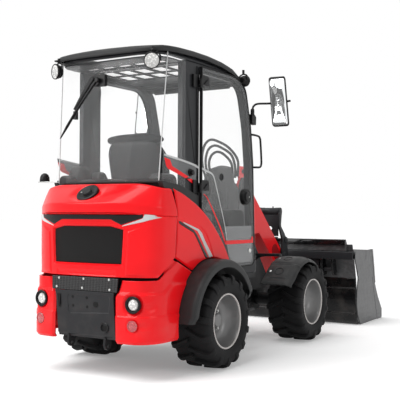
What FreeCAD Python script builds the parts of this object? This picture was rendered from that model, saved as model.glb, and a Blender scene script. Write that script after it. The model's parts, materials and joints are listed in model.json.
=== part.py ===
import FreeCAD, Part
import math
import os
import Sketcher

# Articulated compact wheel loader: rear frame with cab and engine hood, front frame with one lift arm
# and bucket, joined by a vertical pin.  Millimetres.  +X is forward, +Y left, +Z up, z = 0 is the ground
# and x = 0 is half way along the machine.

doc = FreeCAD.newDocument("wheel_loader")
sheet = doc.addObject("Spreadsheet::Sheet", "sizes")
next_row = 0


class Size:
    """A length or angle that keeps both its number and the expression on the sheet that gives it."""

    def __init__(self, text, number):
        self.text, self.number = text, number

    def __add__(self, other):
        other = size(other)
        return Size(f"({self.text} + {other.text})", self.number + other.number)

    def __sub__(self, other):
        other = size(other)
        return Size(f"({self.text} - {other.text})", self.number - other.number)

    def __mul__(self, other):
        other = size(other)
        return Size(f"({self.text} * {other.text})", self.number * other.number)

    def __truediv__(self, other):
        other = size(other)
        return Size(f"({self.text} / {other.text})", self.number / other.number)

    def __radd__(self, other):
        return size(other) + self

    def __rsub__(self, other):
        return size(other) - self

    def __rmul__(self, other):
        return size(other) * self

    def __neg__(self):
        return Size(f"(-{self.text})", -self.number)


def size(value):
    return value if isinstance(value, Size) else Size(f"({float(value)!r})", float(value))


def cell(alias, number, note):
    """Write one driving dimension on the sheet and return it."""
    global next_row
    next_row += 1
    sheet.set(f"A{next_row}", alias)
    sheet.set(f"B{next_row}", str(number))
    sheet.set(f"C{next_row}", note)
    sheet.setAlias(f"B{next_row}", alias)
    return Size(f"sizes.{alias}", float(number))


# ---------------------------------------------------------------------------- driving dimensions
wheelbase = cell("wheelbase", 1530, "rear axle to front axle")
rear_overhang = cell("rear_overhang", 885, "rear axle to the rearmost point of the hood")
front_reach = cell("front_reach", 1840, "front axle to the bucket lip")
tyre_radius = cell("tyre_radius", 344, "tyre outside radius, also the axle height")
tyre_width = cell("tyre_width", 320, "tyre width")
wheel_track = cell("wheel_track", 1040, "distance between wheel centre planes")
rim_radius = cell("rim_radius", 192, "rim barrel outside radius")
rim_wall = cell("rim_wall", 10, "rim barrel and disc wall")
spindle_radius = cell("spindle_radius", 35, "wheel spindle radius")
axle_radius = cell("axle_radius", 55, "axle housing radius")
diff_radius = cell("diff_radius", 105, "differential housing radius")
running_gap = cell("running_gap", 0.05, "radial clearance of a running fit")
seat_gap = cell("seat_gap", 0.3, "clearance of a curved or soft seat")
moving_gap = cell("moving_gap", 6, "clearance between moving bodies")

frame_bottom = cell("frame_bottom", 240, "underside of both frames between the wheels")
frame_saddle = cell("frame_saddle", 425, "underside of the frames over the axles")
chassis_half = cell("chassis_half", 206, "rear chassis half width")
frame_plate = cell("frame_plate", 16, "frame plate thickness")
pin_radius = cell("pin_radius", 25, "articulation and lift arm pin radius")

body_half = cell("body_half", 535, "hood and counterweight half width")
hood_bottom = cell("hood_bottom", 692, "lower edge of the hood")
hood_wall = cell("hood_wall", 24, "hood wall")
bumper_bottom = cell("bumper_bottom", 250, "underside of the counterweights")
bumper_top = cell("bumper_top", 676, "top of the counterweights")
plate_half = cell("plate_half", 255, "rear centre plate half width at its foot")
plate_top_half = cell("plate_top_half", 288, "rear centre plate half width at its top")
fender_half = cell("fender_half", 660, "outer edge of the rear fenders from the middle")

cab_half = cell("cab_half", 470, "cab frame half width")
cab_tube = cell("cab_tube", 42, "cab frame tube depth across the cab")
cab_floor_top = cell("cab_floor_top", 640, "cab floor")
deck_top = cell("deck_top", 940, "deck under the seat")
deck_plate = cell("deck_plate", 40, "floor and deck thickness")
eaves = cell("eaves", 2210, "top of the cab frame, underside of the roof")
glass = cell("glass", 7, "glass thickness")
door_thickness = cell("door_thickness", 16, "door frame thickness")
hinge_pin = cell("hinge_pin", 6, "door hinge pin radius")

fender_radius = cell("fender_radius", 455, "rear fender outside radius")
fender_wall = cell("fender_wall", 12, "fender wall")
front_fender_radius = cell("front_fender_radius", 455, "front fender outside radius")

boom_half = cell("boom_half", 90, "lift arm half width")
boom_depth = cell("boom_depth", 93, "lift arm half depth")
boom_plate = cell("boom_plate", 18, "lift arm plate thickness")
tower_gap = cell("tower_gap", 12, "room between the lift arm and the tower plates")
arm_pivot_x = cell("arm_pivot_x", -260, "lift arm pivot ahead of the front axle")
arm_pivot_z = cell("arm_pivot_z", 1365, "lift arm pivot height")
arm_tip_x = cell("arm_tip_x", 910, "coupler pin ahead of the front axle")
arm_tip_z = cell("arm_tip_z", 300, "coupler pin height")
tip_radius = cell("tip_radius", 55, "lift arm tip radius")
link_pin = cell("link_pin", 20, "coupler and cylinder pin radius")
lever_plate = cell("lever_plate", 18, "tilt lever plate thickness")

bucket_half = cell("bucket_half", 665, "bucket half width")
bucket_wall = cell("bucket_wall", 12, "bucket plate thickness")
bucket_top = cell("bucket_top", 735, "bucket back height")
doc.recompute()

rear_axle_x = (rear_overhang - wheelbase - front_reach) / 2
front_axle_x = (rear_overhang + wheelbase - front_reach) / 2
pivot_x = wheelbase / 2            # articulation pin ahead of the rear axle
tower_half = boom_half + tower_gap + frame_plate

nodes = []


# ---------------------------------------------------------------------------- builders
def bind(thing, field, value):
    thing.setExpression(field, size(value).text)


def place(thing, x=0, y=0, z=0, turn=0.0, axis=(0, 1, 0)):
    """Give an object its place, with the position bound to the sheet."""
    x, y, z = size(x), size(y), size(z)
    turn_by = FreeCAD.Rotation(FreeCAD.Vector(*axis), turn)
    thing.Placement = FreeCAD.Placement(FreeCAD.Vector(x.number, y.number, z.number), turn_by)
    for field, value in (("x", x), ("y", y), ("z", z)):
        bind(thing, f"Placement.Base.{field}", value)
    return thing


def sketch_on(body, role, offset, points):
    """Closed outline whose corners are bound to the sheet, on one of the body's own planes."""
    plane = next(item for item in body.Origin.OriginFeatures if item.Role == role)
    sketch = body.newObject("Sketcher::SketchObject", "outline")
    sketch.AttachmentSupport = [(plane, "")]
    sketch.MapMode = "FlatFace"
    sketch.AttachmentOffset = FreeCAD.Placement(FreeCAD.Vector(0, 0, size(offset).number), FreeCAD.Rotation())
    bind(sketch, "AttachmentOffset.Base.z", offset)
    corners = [FreeCAD.Vector(size(u).number, size(v).number, 0) for u, v in points]
    count = len(corners)
    for index in range(count):
        sketch.addGeometry(Part.LineSegment(corners[index], corners[(index + 1) % count]), False)
    for index in range(count):
        sketch.addConstraint(Sketcher.Constraint("Coincident", index, 2, (index + 1) % count, 1))
    for index, (u, v) in enumerate(points):
        for kind, value in (("DistanceX", size(u)), ("DistanceY", size(v))):
            number = sketch.addConstraint(Sketcher.Constraint(kind, -1, 1, index, 1, value.number))
            name = f"corner{index}{kind[-1].lower()}"
            sketch.renameConstraint(number, name)
            bind(sketch, f"Constraints.{name}", value)
    return sketch


def pad(role, points, low, high):
    """Solid of an outline between two planes: low and high lie along the plane's outward axis."""
    body = doc.addObject("PartDesign::Body", "piece")
    if role == "XZ_Plane":
        sketch = sketch_on(body, role, -size(high), points)
    else:
        sketch = sketch_on(body, role, low, points)
    feature = body.newObject("PartDesign::Pad", "pad")
    feature.Profile = sketch
    feature.Length = size(high).number - size(low).number
    bind(feature, "Length", size(high) - low)
    doc.recompute()
    return body


def side_plate(points, y_low, y_high):
    return pad("XZ_Plane", points, y_low, y_high)


def flat_plate(points, z_low, z_high):
    return pad("XY_Plane", points, z_low, z_high)


def end_plate(points, x_low, x_high):
    return pad("YZ_Plane", points, x_low, x_high)


def box(x0, x1, y0, y1, z0, z1):
    thing = doc.addObject("Part::Box", "block")
    for field, low, high in (("Length", x0, x1), ("Width", y0, y1), ("Height", z0, z1)):
        bind(thing, field, size(high) - low)
    return place(thing, x0, y0, z0)


def rod(radius, length, x=0, y=0, z=0, along="y"):
    """Round bar from a point along +X, +Y or +Z."""
    thing = doc.addObject("Part::Cylinder", "bar")
    bind(thing, "Radius", radius)
    bind(thing, "Height", length)
    turn, axis = {"y": (-90, (1, 0, 0)), "x": (90, (0, 1, 0)), "z": (0, (0, 0, 1))}[along]
    return place(thing, x, y, z, turn, axis)


def fuse(*things):
    thing = doc.addObject("Part::MultiFuse", "joined")
    thing.Shapes = list(things)
    return thing


def cut(base, *tools):
    tool = tools[0] if len(tools) == 1 else fuse(*tools)
    thing = doc.addObject("Part::Cut", "cut")
    thing.Base, thing.Tool = base, tool
    return thing


def common(first, second):
    thing = doc.addObject("Part::MultiCommon", "common")
    thing.Shapes = [first, second]
    return thing


def group(*things):
    thing = doc.addObject("Part::Compound", "group")
    thing.Links = list(things)
    return thing


def node(name, thing, x=0, y=0, z=0, turn=0.0, axis=(0, 1, 0)):
    """Name a finished sub-part and put it in its place."""
    thing.Label = name
    place(thing, x, y, z, turn, axis)
    nodes.append(thing)
    return thing


def arch(radius, wall, start, sweep, x, z, y0, y1):
    """Strip bent round a wheel: a sector of a tube lying along Y, angles from +X towards +Z."""
    parts = []
    for reach in (radius, size(radius) - wall):
        thing = doc.addObject("Part::Cylinder", "sector")
        bind(thing, "Radius", reach)
        bind(thing, "Height", size(y1) - y0)
        thing.Angle = sweep if not parts else 360
        turn = FreeCAD.Rotation(FreeCAD.Vector(1, 0, 0), 90)
        start_turn = FreeCAD.Rotation(FreeCAD.Vector(0, 0, 1), start)
        place(thing, x, y1, z)
        thing.Placement = FreeCAD.Placement(thing.Placement.Base, turn.multiply(start_turn))
        for field, value in (("x", x), ("y", y1), ("z", z)):
            bind(thing, f"Placement.Base.{field}", value)
        parts.append(thing)
    return cut(*parts)


def both_sides(half_plan):
    """Half of a plan closed by its mirror image; a point on the middle line isn't doubled."""
    other = [(x, -size(y)) for x, y in reversed(half_plan)]
    return half_plan + [point for point in other if size(point[1]).number != 0]


def mirrored(side, low, high):
    """The stretch low..high on the left, or its mirror image on the right."""
    return (size(low), size(high)) if side > 0 else (-size(high), -size(low))


SIDES = (("left", 1), ("right", -1))


# ---------------------------------------------------------------------------- wheels and axles
hub_inner = wheel_track / 2 - 100      # inner face of the wheel hub
hub_outer = wheel_track / 2 - 20
spindle_end = hub_outer - 4


def ring(points):
    """Solid of revolution about the body's Y axis; points are (radius, y)."""
    body = doc.addObject("PartDesign::Body", "round")
    sketch = sketch_on(body, "XY_Plane", 0, points)
    feature = body.newObject("PartDesign::Revolution", "turned")
    feature.Profile = sketch
    feature.ReferenceAxis = (sketch, ["V_Axis"])
    feature.Angle = 360
    doc.recompute()
    return body


def wheel(corner, axle_x, side):
    half = tyre_width / 2
    bead = rim_radius + seat_gap
    tyre = ring([(bead, -half * 0.78), (tyre_radius - 90, -half), (tyre_radius - 35, -half),
                 (tyre_radius, -half + 25), (tyre_radius, half - 25), (tyre_radius - 35, half),
                 (tyre_radius - 90, half), (bead, half * 0.78)])
    node(f"tyre_{corner}", tyre, axle_x, side * wheel_track / 2, tyre_radius)
    inner, outer = hub_inner - wheel_track / 2, hub_outer - wheel_track / 2
    edge = half * 0.8
    bore = spindle_radius + running_gap
    face = half * 0.25
    rim = ring([(bore, inner), (bore + 35, inner), (bore + 35, face), (rim_radius - rim_wall, face),
                (rim_radius - rim_wall, -edge), (rim_radius, -edge), (rim_radius, edge),
                (rim_radius - rim_wall, edge), (rim_radius - rim_wall, face + rim_wall),
                (bore + 20, face + rim_wall), (bore + 20, outer), (bore, outer)])
    turn = 0 if side > 0 else 180
    node(f"rim_{corner}", rim, axle_x, side * wheel_track / 2, tyre_radius, turn, (0, 0, 1))


def axle(name, axle_x, saddle_half, plate):
    flange = hub_inner - moving_gap
    housing = rod(axle_radius, flange * 2, 0, -flange, 0)
    spindle = rod(spindle_radius, spindle_end * 2, 0, -spindle_end, 0)
    centre = rod(diff_radius, 200, 0, -100, 0)
    pads = [box(-70, 70, *mirrored(side, saddle_half - plate - 20, saddle_half + 20),
                axle_radius * 0.5, frame_saddle - tyre_radius) for _, side in SIDES]
    flanges = [rod(90, 16, 0, (flange - 16) if side > 0 else -flange, 0) for _, side in SIDES]
    node(name, fuse(housing, spindle, centre, *pads, *flanges), axle_x, 0, tyre_radius)


for end, axle_x in (("rear", rear_axle_x), ("front", front_axle_x)):
    for name, side in SIDES:
        wheel(f"{end}_{name}", axle_x, side)
axle("rear_axle", rear_axle_x, chassis_half, frame_plate)
axle("front_axle", front_axle_x, tower_half, frame_plate)

# ---------------------------------------------------------------------------- rear chassis
chassis_rear = -745
chassis_top = cab_floor_top - deck_plate
ear_low, ear_high = frame_bottom + 10, frame_bottom + 290
ear_plate = 25
ear_radius = 65
outline = [(chassis_rear, chassis_top), (chassis_rear, frame_saddle), (130, frame_saddle),
           (230, frame_bottom), (pivot_x - 100, frame_bottom), (pivot_x - 100, frame_bottom + 340),
           (300, chassis_top)]
rails = [side_plate(outline, *mirrored(side, chassis_half - frame_plate, chassis_half)) for _, side in SIDES]
rear_cross = box(chassis_rear, chassis_rear + frame_plate, -chassis_half + frame_plate,
                 chassis_half - frame_plate, frame_saddle, chassis_top)
front_cross = box(pivot_x - 100 - frame_plate, pivot_x - 100, -chassis_half + frame_plate,
                  chassis_half - frame_plate, frame_bottom, frame_bottom + 340)
ears = []
for level in (ear_low, ear_high):
    ears.append(box(pivot_x - 100, pivot_x, -ear_radius, ear_radius, level, level + ear_plate))
    ears.append(rod(ear_radius, ear_plate, pivot_x, 0, level, "z"))
pin = rod(pin_radius, ear_high - ear_low + ear_plate, pivot_x, 0, ear_low, "z")
node("rear_chassis", fuse(*rails, rear_cross, front_cross, *ears, pin), rear_axle_x)

inner_half = chassis_half - frame_plate
engine = box(-640, -110, -inner_half, inner_half, 470, deck_top - deck_plate - 20)
node("engine_block", group(engine), rear_axle_x)

# ---------------------------------------------------------------------------- counterweights and rear plate
fender_z = 335                     # centre of the rear fender arch
bumper_rear = -800
plate_low = 285                    # foot of the rear centre plate
plate_gap = 2
room_half, room_top_half = plate_half + plate_gap, plate_top_half + plate_gap
plate_face = [(-plate_half, plate_low), (plate_half, plate_low), (plate_top_half, bumper_top),
              (-plate_top_half, bumper_top)]
plate_room = [(-room_half, bumper_bottom - 10), (room_half, bumper_bottom - 10), (room_half, plate_low),
              (room_top_half, bumper_top), (room_top_half, bumper_top + 200),
              (-room_top_half, bumper_top + 200), (-room_top_half, bumper_top), (-room_half, plate_low)]
bumper_side = [(-820, bumper_bottom), (-400, bumper_bottom), (-230, 700), (-262, 712), (-488, 806),
               (-655, bumper_top), (-820, bumper_top)]
weights = []
for _, side in SIDES:
    plan = [(chassis_rear, chassis_half), (-230, chassis_half), (-230, body_half), (-600, body_half),
            (-672, body_half - 18), (-722, body_half - 55), (bumper_rear, body_half - 98),
            (bumper_rear - 6, plate_half), (chassis_rear, plate_half)]
    plan = [(u, side * size(v)) for u, v in plan]
    low, high = mirrored(side, chassis_half - 10, body_half + 10)
    blank = common(flat_plate(plan, bumper_bottom, 900), side_plate(bumper_side, low, high))
    weights.append(cut(blank, rod(fender_radius + seat_gap, 500, 0, low - 50, fender_z),
                       end_plate(plate_room, -900, chassis_rear)))
node("counterweights", group(*weights), rear_axle_x)

plate_profile = [(-780, plate_low), (chassis_rear, plate_low), (chassis_rear, bumper_top), (-806, bumper_top),
                 (-812, 594)]

tow_x, tow_z = -752, 222
tow_bore = 13
lugs = []
for _, side in SIDES:
    lug = side_plate([(-780, plate_low), (-788, 232), (-776, 206), (tow_x, 196), (-728, 206), (-716, 232),
                      (-720, plate_low)], *mirrored(side, 150, 168))
    lugs.append(cut(lug, rod(tow_bore, 40, tow_x, side * 159 - 20, tow_z)))
node("tow_eyes", group(*lugs), rear_axle_x)

tail_lamps = [rod(40, 14, bumper_rear - 14, side * (body_half - 143), 525, "x") for _, side in SIDES]
tail_lamps += [rod(28, 10, bumper_rear - 12, side * (body_half - 155), 385, "x") for _, side in SIDES]
lamp_backs = fuse(*weights)
node("tail_lamps", cut(group(*tail_lamps), lamp_backs), rear_axle_x)

# ---------------------------------------------------------------------------- hood
hood_top_front = (-514, 1296)      # front upper corner, which passes under the cab when the hood opens
hood_side = [(-800, hood_bottom), (-800, 1110), (-700, 1290), hood_top_front, (-470, 1100), (-490, 820),
             (-665, hood_bottom)]
hood_plan = [(-380, -body_half), (-600, -body_half + 3), (-670, -body_half + 22), (-714, -body_half + 55),
             (-782, -330), (-800, -250)]
brow_side = [(-800, 1108), (-868, 1118), (-rear_overhang, 1142), (-880, 1188), (-800, 1274), (-708, 1324),
             (-640, 1324), hood_top_front, (-478, 1150), (-484, 1108)]
brow_plan = [(-380, -body_half - 4), (-620, -body_half - 4), (-704, -body_half + 16), (-762, -body_half + 55),
             (-842, -300), (-rear_overhang, 0)]
hood_body = common(side_plate(hood_side, -600, 600), flat_plate(both_sides(hood_plan), 600, 1400))
hood_brow = common(side_plate(brow_side, -600, 600), flat_plate(both_sides(brow_plan), 600, 1400))
room_side = [(-800 + hood_wall, 600), (-800 + hood_wall, 1120), (-690, 1290 - hood_wall - 4),
             (-380, 1290 - hood_wall - 4), (-380, 600)]
hood_inner = body_half - hood_wall
room_plan = [(-370, -hood_inner), (-596, -hood_inner + 3), (-656, -hood_inner + 20), (-694, -hood_inner + 50),
             (-758, -316), (-800 + hood_wall, -240)]
hood_room = common(side_plate(room_side, -600, 600), flat_plate(both_sides(room_plan), 500, 1400))
hood_axis_x, hood_axis_z = -798, (hood_bottom + bumper_top) / 2 + 2
knuckles = [rod(7, 60, hood_axis_x, side * 200 - 30, hood_axis_z) for _, side in SIDES]
hood_bores = [rod(4 + running_gap, 100, hood_axis_x, side * 200 - 50, hood_axis_z) for _, side in SIDES]
node("hood", cut(fuse(cut(fuse(hood_body, hood_brow), hood_room), *knuckles), *hood_bores), rear_axle_x)
hinge_pins = []
for _, side in SIDES:
    hinge_pins.append(rod(4, 84, hood_axis_x, side * 200 - 42, hood_axis_z))
    for edge in (-1, 1):
        middle = side * 200 + edge * 38
        hinge_pins.append(box(hood_axis_x - 4, hood_axis_x + 4, middle - 4, middle + 4, bumper_top - 5,
                              hood_axis_z + 2))
plate_blank = common(side_plate(plate_profile, -400, 400), end_plate(plate_face, -900, -700))
node("rear_plate", fuse(plate_blank, *hinge_pins), rear_axle_x)

# ---------------------------------------------------------------------------- side panels, fenders, steps
panel_line = [(-498, 1290), (-458, 1100), (-478, 822), (-255, 722), (-255, 690), (300, 690), (297, 722),
              (247, 795), (191, 871), (132, 935), (67, 998), (-6, 1060), (-93, 1121), (-189, 1176),
              (-282, 1218), (-390, 1259)]
panels = []
for _, side in SIDES:
    low, high = mirrored(side, cab_half, cab_half + 60)
    blank = side_plate(panel_line, low, high)
    panels.append(cut(blank, rod(fender_radius + seat_gap, 300, 0, low - 50, fender_z)))
node("side_panels", group(*panels), rear_axle_x)

fender_in = body_half - 65         # the arch reaches in behind the counterweight and the side panel
fenders = [arch(fender_radius, fender_wall, 20, 157, 0, fender_z, *mirrored(side, fender_in, fender_half))
           for _, side in SIDES]
node("rear_fenders", group(*fenders), rear_axle_x)

steps = []
for _, side in SIDES:
    low, high = mirrored(side, 330, cab_half)
    inner_low, inner_high = mirrored(side, 330, 346)
    steps.append(fuse(box(590, 780, low, high, 330, 352),
                      box(590, 780, inner_low, inner_high, 352, cab_floor_top - deck_plate)))
node("cab_steps", group(*steps), rear_axle_x)

# ---------------------------------------------------------------------------- cab tub
cab_front = 800
tub_profile = [(520, cab_floor_top - deck_plate), (520, cab_floor_top), (290, cab_floor_top), (290, deck_top),
               (-424, deck_top), (-424, 1330), (-462, 1330), (-462, deck_top - deck_plate),
               (250, deck_top - deck_plate), (250, cab_floor_top - deck_plate)]
tub_middle = side_plate(tub_profile, -330, 330)
front_floor = box(520, cab_front, -cab_half, cab_half, cab_floor_top - deck_plate, cab_floor_top)
arches = []
for _, side in SIDES:
    low, high = mirrored(side, 330, cab_half)
    arches.append(side_plate([(520, cab_floor_top - deck_plate), (520, cab_floor_top), (340, 730),
                              (60, deck_top), (-424, deck_top), (-424, 1330), (-462, 1330),
                              (-462, deck_top - deck_plate), (40, deck_top - deck_plate), (320, 690)],
                             low, high))
shelf_base, shelf_top = 1345, 1358
shelf_plan = [(-424, cab_half), (-556, cab_half), (-598, cab_half - 200), (-620, 0)]
shelf = flat_plate(both_sides(shelf_plan), shelf_base, shelf_top)
shelf_riser = box(-462, -424, -cab_half, cab_half, 1330, shelf_base)
node("cab_tub", fuse(tub_middle, front_floor, shelf, shelf_riser, *arches), rear_axle_x)

# ---------------------------------------------------------------------------- cab frame
post_rear = -310
ring_outer = [(post_rear, deck_top), (60, deck_top), (340, 730), (520, cab_floor_top),
              (cab_front, cab_floor_top), (762, 1530), (722, 1830), (640, 2110), (540, eaves),
              (post_rear, eaves)]
ring_inner = [(-75, 1200), (20, 1130), (100, 1050), (170, 975), (235, 890), (290, 810), (338, 748),
              (400, 722), (705, 722), (662, 1515), (625, 1800), (545, 2080), (440, 2150), (-75, 2150)]
cab_pieces = []
for _, side in SIDES:
    low, high = mirrored(side, cab_half - cab_tube, cab_half)
    cab_pieces.append(cut(side_plate(ring_outer, low, high), side_plate(ring_inner, low - 5, high + 5)))
rail_in = cab_half - cab_tube
cab_pieces.append(box(post_rear, post_rear + 60, -rail_in, rail_in, eaves - 60, eaves))
cab_pieces.append(box(490, 540, -rail_in, rail_in, eaves - 50, eaves))
cab_pieces.append(box(730, 780, -rail_in, rail_in, cab_floor_top, cab_floor_top + 60))

hinge_x = -116
hinge_y = cab_half + moving_gap + door_thickness + 8
hinge_levels = (1290, 2050)
hinge_height = 40
hinge_radius = 12
for _, side in SIDES:
    low, high = mirrored(side, cab_half, hinge_y + hinge_radius)
    for level in hinge_levels:
        cab_pieces.append(box(hinge_x - 14, hinge_x + 10, low, high, level - 20, level - 1))
        cab_pieces.append(rod(hinge_pin, hinge_height + 2, hinge_x, side * hinge_y, level - 2, "z"))
node("cab_frame", fuse(*cab_pieces), rear_axle_x)

# ---------------------------------------------------------------------------- roof
roof_half = cab_half + 32
roof_plan = [(600, roof_half - 102), (540, roof_half - 32), (420, roof_half), (-400, roof_half),
             (-530, roof_half - 12), (-605, roof_half - 77), (-640, roof_half - 172), (-655, 0)]
roof_side = [(-660, eaves), (-660, eaves + 20), (-600, eaves + 50), (-500, eaves + 66), (-110, eaves + 92),
             (193, eaves + 73), (379, eaves + 42), (480, eaves + 10), (520, eaves)]
roof_blank = common(flat_plate(both_sides(roof_plan), eaves - 10, eaves + 200),
                    side_plate(roof_side, -roof_half, roof_half))
skylight_half = cab_half - 90
skylight = box(-420, 200, -skylight_half, skylight_half, eaves - 10, eaves + 200)
node("cab_roof", cut(roof_blank, skylight), rear_axle_x)

# ---------------------------------------------------------------------------- glazing
glass_bow = 60
rear_glass_half = 455
bow_radius = (size(rear_glass_half) * rear_glass_half + glass_bow * glass_bow) / (2 * glass_bow)
rear_glass_x = -555
pane = cut(rod(bow_radius, eaves - shelf_top, rear_glass_x - glass_bow + bow_radius, 0, shelf_top, "z"),
           rod(bow_radius - glass, eaves - 1300, rear_glass_x - glass_bow + bow_radius, 0, 1330, "z"))
node("rear_window", common(pane, box(-700, rear_glass_x, -rear_glass_half, rear_glass_half, 1300, 2300)),
     rear_axle_x)

quarter_line = [(-552, shelf_top), (-552, eaves - 8), (post_rear + 30, eaves - 8), (post_rear + 30, 1296),
                (-360, 1322), (-440, shelf_top)]
quarters = [side_plate(quarter_line, *mirrored(side, cab_half, cab_half + glass)) for _, side in SIDES]
node("quarter_windows", group(*quarters), rear_axle_x)

screen_line = [(cab_front, cab_floor_top), (762, 1530), (722, 1830), (640, 2110), (560, 2190),
               (566, 2196), (648, 2114), (729, 1832), (769, 1531), (cab_front + 7, cab_floor_top)]
node("windscreen", side_plate(screen_line, -cab_half, cab_half), rear_axle_x)

# ---------------------------------------------------------------------------- doors
door_outer = [(-98, 1150), (0, 1072), (76, 1008), (141, 945), (201, 880), (257, 804), (314, 734), (385, 702),
              (700, 702), (738, 740),
              (700, 1515), (665, 1800), (590, 2080), (505, 2160), (395, 2190), (-98, 2190)]
door_inner = [(-60, 1238), (20, 1182), (93, 1112), (176, 1018), (240, 930), (300, 826), (346, 762),
              (396, 738), (686, 738), (701, 756), (664, 1510), (630, 1790), (560, 2060), (486, 2128),
              (388, 2154), (-60, 2154)]
door_low = cab_half + moving_gap
for name, side in SIDES:
    low, high = mirrored(side, door_low, door_low + door_thickness)
    frame = cut(side_plate(door_outer, low, high), side_plate(door_inner, low - 5, high + 5))
    knuckles = []
    for level in hinge_levels:
        lug_low, lug_high = mirrored(side, door_low + 4, hinge_y)
        knuckles.append(box(hinge_x, -90, lug_low, lug_high, level, level + hinge_height - 4))
        knuckles.append(rod(hinge_radius, hinge_height - 4, hinge_x, side * hinge_y, level, "z"))
    bores = [rod(hinge_pin + running_gap, hinge_height + 20, hinge_x, side * hinge_y, level - 10, "z")
             for level in hinge_levels]
    node(f"door_frame_{name}", cut(fuse(frame, *knuckles), *bores), rear_axle_x)
    pane_low, pane_high = mirrored(side, door_low + 5, door_low + 5 + glass)
    node(f"door_glass_{name}", side_plate(door_inner, pane_low, pane_high), rear_axle_x)

# ---------------------------------------------------------------------------- seat and steering
node("seat_base", group(box(-230, 150, -170, 170, deck_top, deck_top + 90)), rear_axle_x)
cushion = box(-250, 210, -230, 230, deck_top + 90 + seat_gap, deck_top + 200)
node("seat_cushion", group(cushion), rear_axle_x)
back_line = [(-250, deck_top + 200 + seat_gap), (-140, deck_top + 200 + seat_gap), (-200, 1450), (-230, 1700),
             (-300, 1710), (-330, 1450)]
node("seat_back", side_plate(back_line, -225, 225), rear_axle_x)

column_line = [(560, cab_floor_top), (700, cab_floor_top), (670, 900), (610, 1100), (540, 1075), (570, 900)]
wheel_tilt = 25
wheel_x, wheel_z = 500, 1210
shaft = doc.addObject("Part::Cylinder", "bar")
bind(shaft, "Radius", 14)
bind(shaft, "Height", 150)
lean = math.radians(wheel_tilt)
drop = 150 + 16 + seat_gap.number
place(shaft, wheel_x + drop * math.sin(lean), 0, wheel_z - drop * math.cos(lean), -wheel_tilt)
node("steering_column", fuse(side_plate(column_line, -90, 90), shaft), rear_axle_x)
torus = doc.addObject("Part::Torus", "rim_of_wheel")
torus.Radius1, torus.Radius2 = 170, 14
spoke = box(-165, 165, -14, 14, -10, 4)
cross_spoke = box(-14, 14, -165, 165, -10, 4)
boss = rod(45, 30, 0, 0, -16, "z")
node("steering_wheel", fuse(torus, spoke, cross_spoke, boss), rear_axle_x + wheel_x, 0, wheel_z, -wheel_tilt)

# ---------------------------------------------------------------------------- mirrors and lamps
mirrors = []
for _, side in SIDES:
    arm_low, arm_high = mirrored(side, cab_half, 600)
    head_low, head_high = mirrored(side, 578, 735)
    foot_low, foot_high = mirrored(side, cab_half, cab_half + 18)
    mirrors.append(fuse(box(640, 825, foot_low, foot_high, 1960, 1990),
                        box(803, 825, arm_low, arm_high, 1960, 1990),
                        box(800, 838, head_low, head_high, 1825, 2235)))
node("mirrors", group(*mirrors), rear_axle_x)

lamps = []
for _, side in SIDES:
    rear_y = side * (cab_half - 50)
    lamps.append(fuse(rod(40, 45, -628, rear_y, eaves - 48, "x"),
                      box(-605, -590, rear_y - 12, rear_y + 12, eaves - 20, eaves)))
    low, high = mirrored(side, cab_half, cab_half + 8)
    lamps.append(fuse(rod(42, 44, 618, side * (cab_half + 10), eaves - 15, "x"),
                      box(535, 630, low, high, eaves - 25, eaves - 10)))
node("work_lamps", group(*lamps), rear_axle_x)

# ---------------------------------------------------------------------------- front frame
arm_rise, arm_run = arm_tip_z.number - arm_pivot_z.number, arm_tip_x.number - arm_pivot_x.number
arm_angle = math.degrees(math.atan2(arm_rise, arm_run))
plate_in = tower_half - frame_plate
frame_rear = 125 - pivot_x
tower = [(frame_rear, frame_bottom), (frame_rear, 560), (-560, 575), (-420, 760), (-345, 1380), (-300, 1440),
         (-220, 1440), (-180, 1360), (-120, 900), (160, 560), (160, frame_saddle), (-110, frame_saddle),
         (-190, frame_bottom)]
front_pieces = [side_plate(tower, *mirrored(side, plate_in, tower_half)) for _, side in SIDES]
front_pieces.append(box(frame_rear, frame_rear + frame_plate, -plate_in, plate_in, frame_bottom, 550))
front_pieces.append(box(160 - frame_plate, 160, -plate_in, plate_in, frame_saddle, 555))
tongue_low, tongue_high = ear_low + ear_plate + moving_gap, ear_high - moving_gap
tongue = fuse(box(-pivot_x, frame_rear, -60, 60, tongue_low, tongue_high),
              rod(60, tongue_high - tongue_low, -pivot_x, 0, tongue_low, "z"))
front_pieces.append(cut(tongue, rod(pin_radius + running_gap, 400, -pivot_x, 0, frame_bottom, "z")))
lift_base_x, lift_base_z = -480, 400
front_pieces.append(rod(link_pin, plate_in * 2 + 4, lift_base_x, -plate_in - 2, lift_base_z))
front_pieces.append(rod(pin_radius, tower_half * 2 + 16, arm_pivot_x, -tower_half - 8, arm_pivot_z))
for _, side in SIDES:
    low, high = mirrored(side, tower_half, 380)
    front_pieces.append(box(-100, -40, low, high, 736, 757))
node("front_frame", fuse(*front_pieces), front_axle_x)

arch_x, arch_z = -60, 305
front_arches = [arch(front_fender_radius, fender_wall, 60, 90, arch_x, arch_z,
                     *mirrored(side, 380, wheel_track / 2 + tyre_width / 2 - 15)) for _, side in SIDES]
node("front_fenders", group(*front_arches), front_axle_x)


# ---------------------------------------------------------------------------- lift arm, in its own frame
def along_arm(u, v):
    """Point u along the lift arm from its pivot and v above its centre line, ahead of the front axle."""
    angle = math.radians(arm_angle)
    return (arm_pivot_x.number + u * math.cos(angle) - v * math.sin(angle),
            arm_pivot_z.number + u * math.sin(angle) + v * math.cos(angle))


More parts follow.
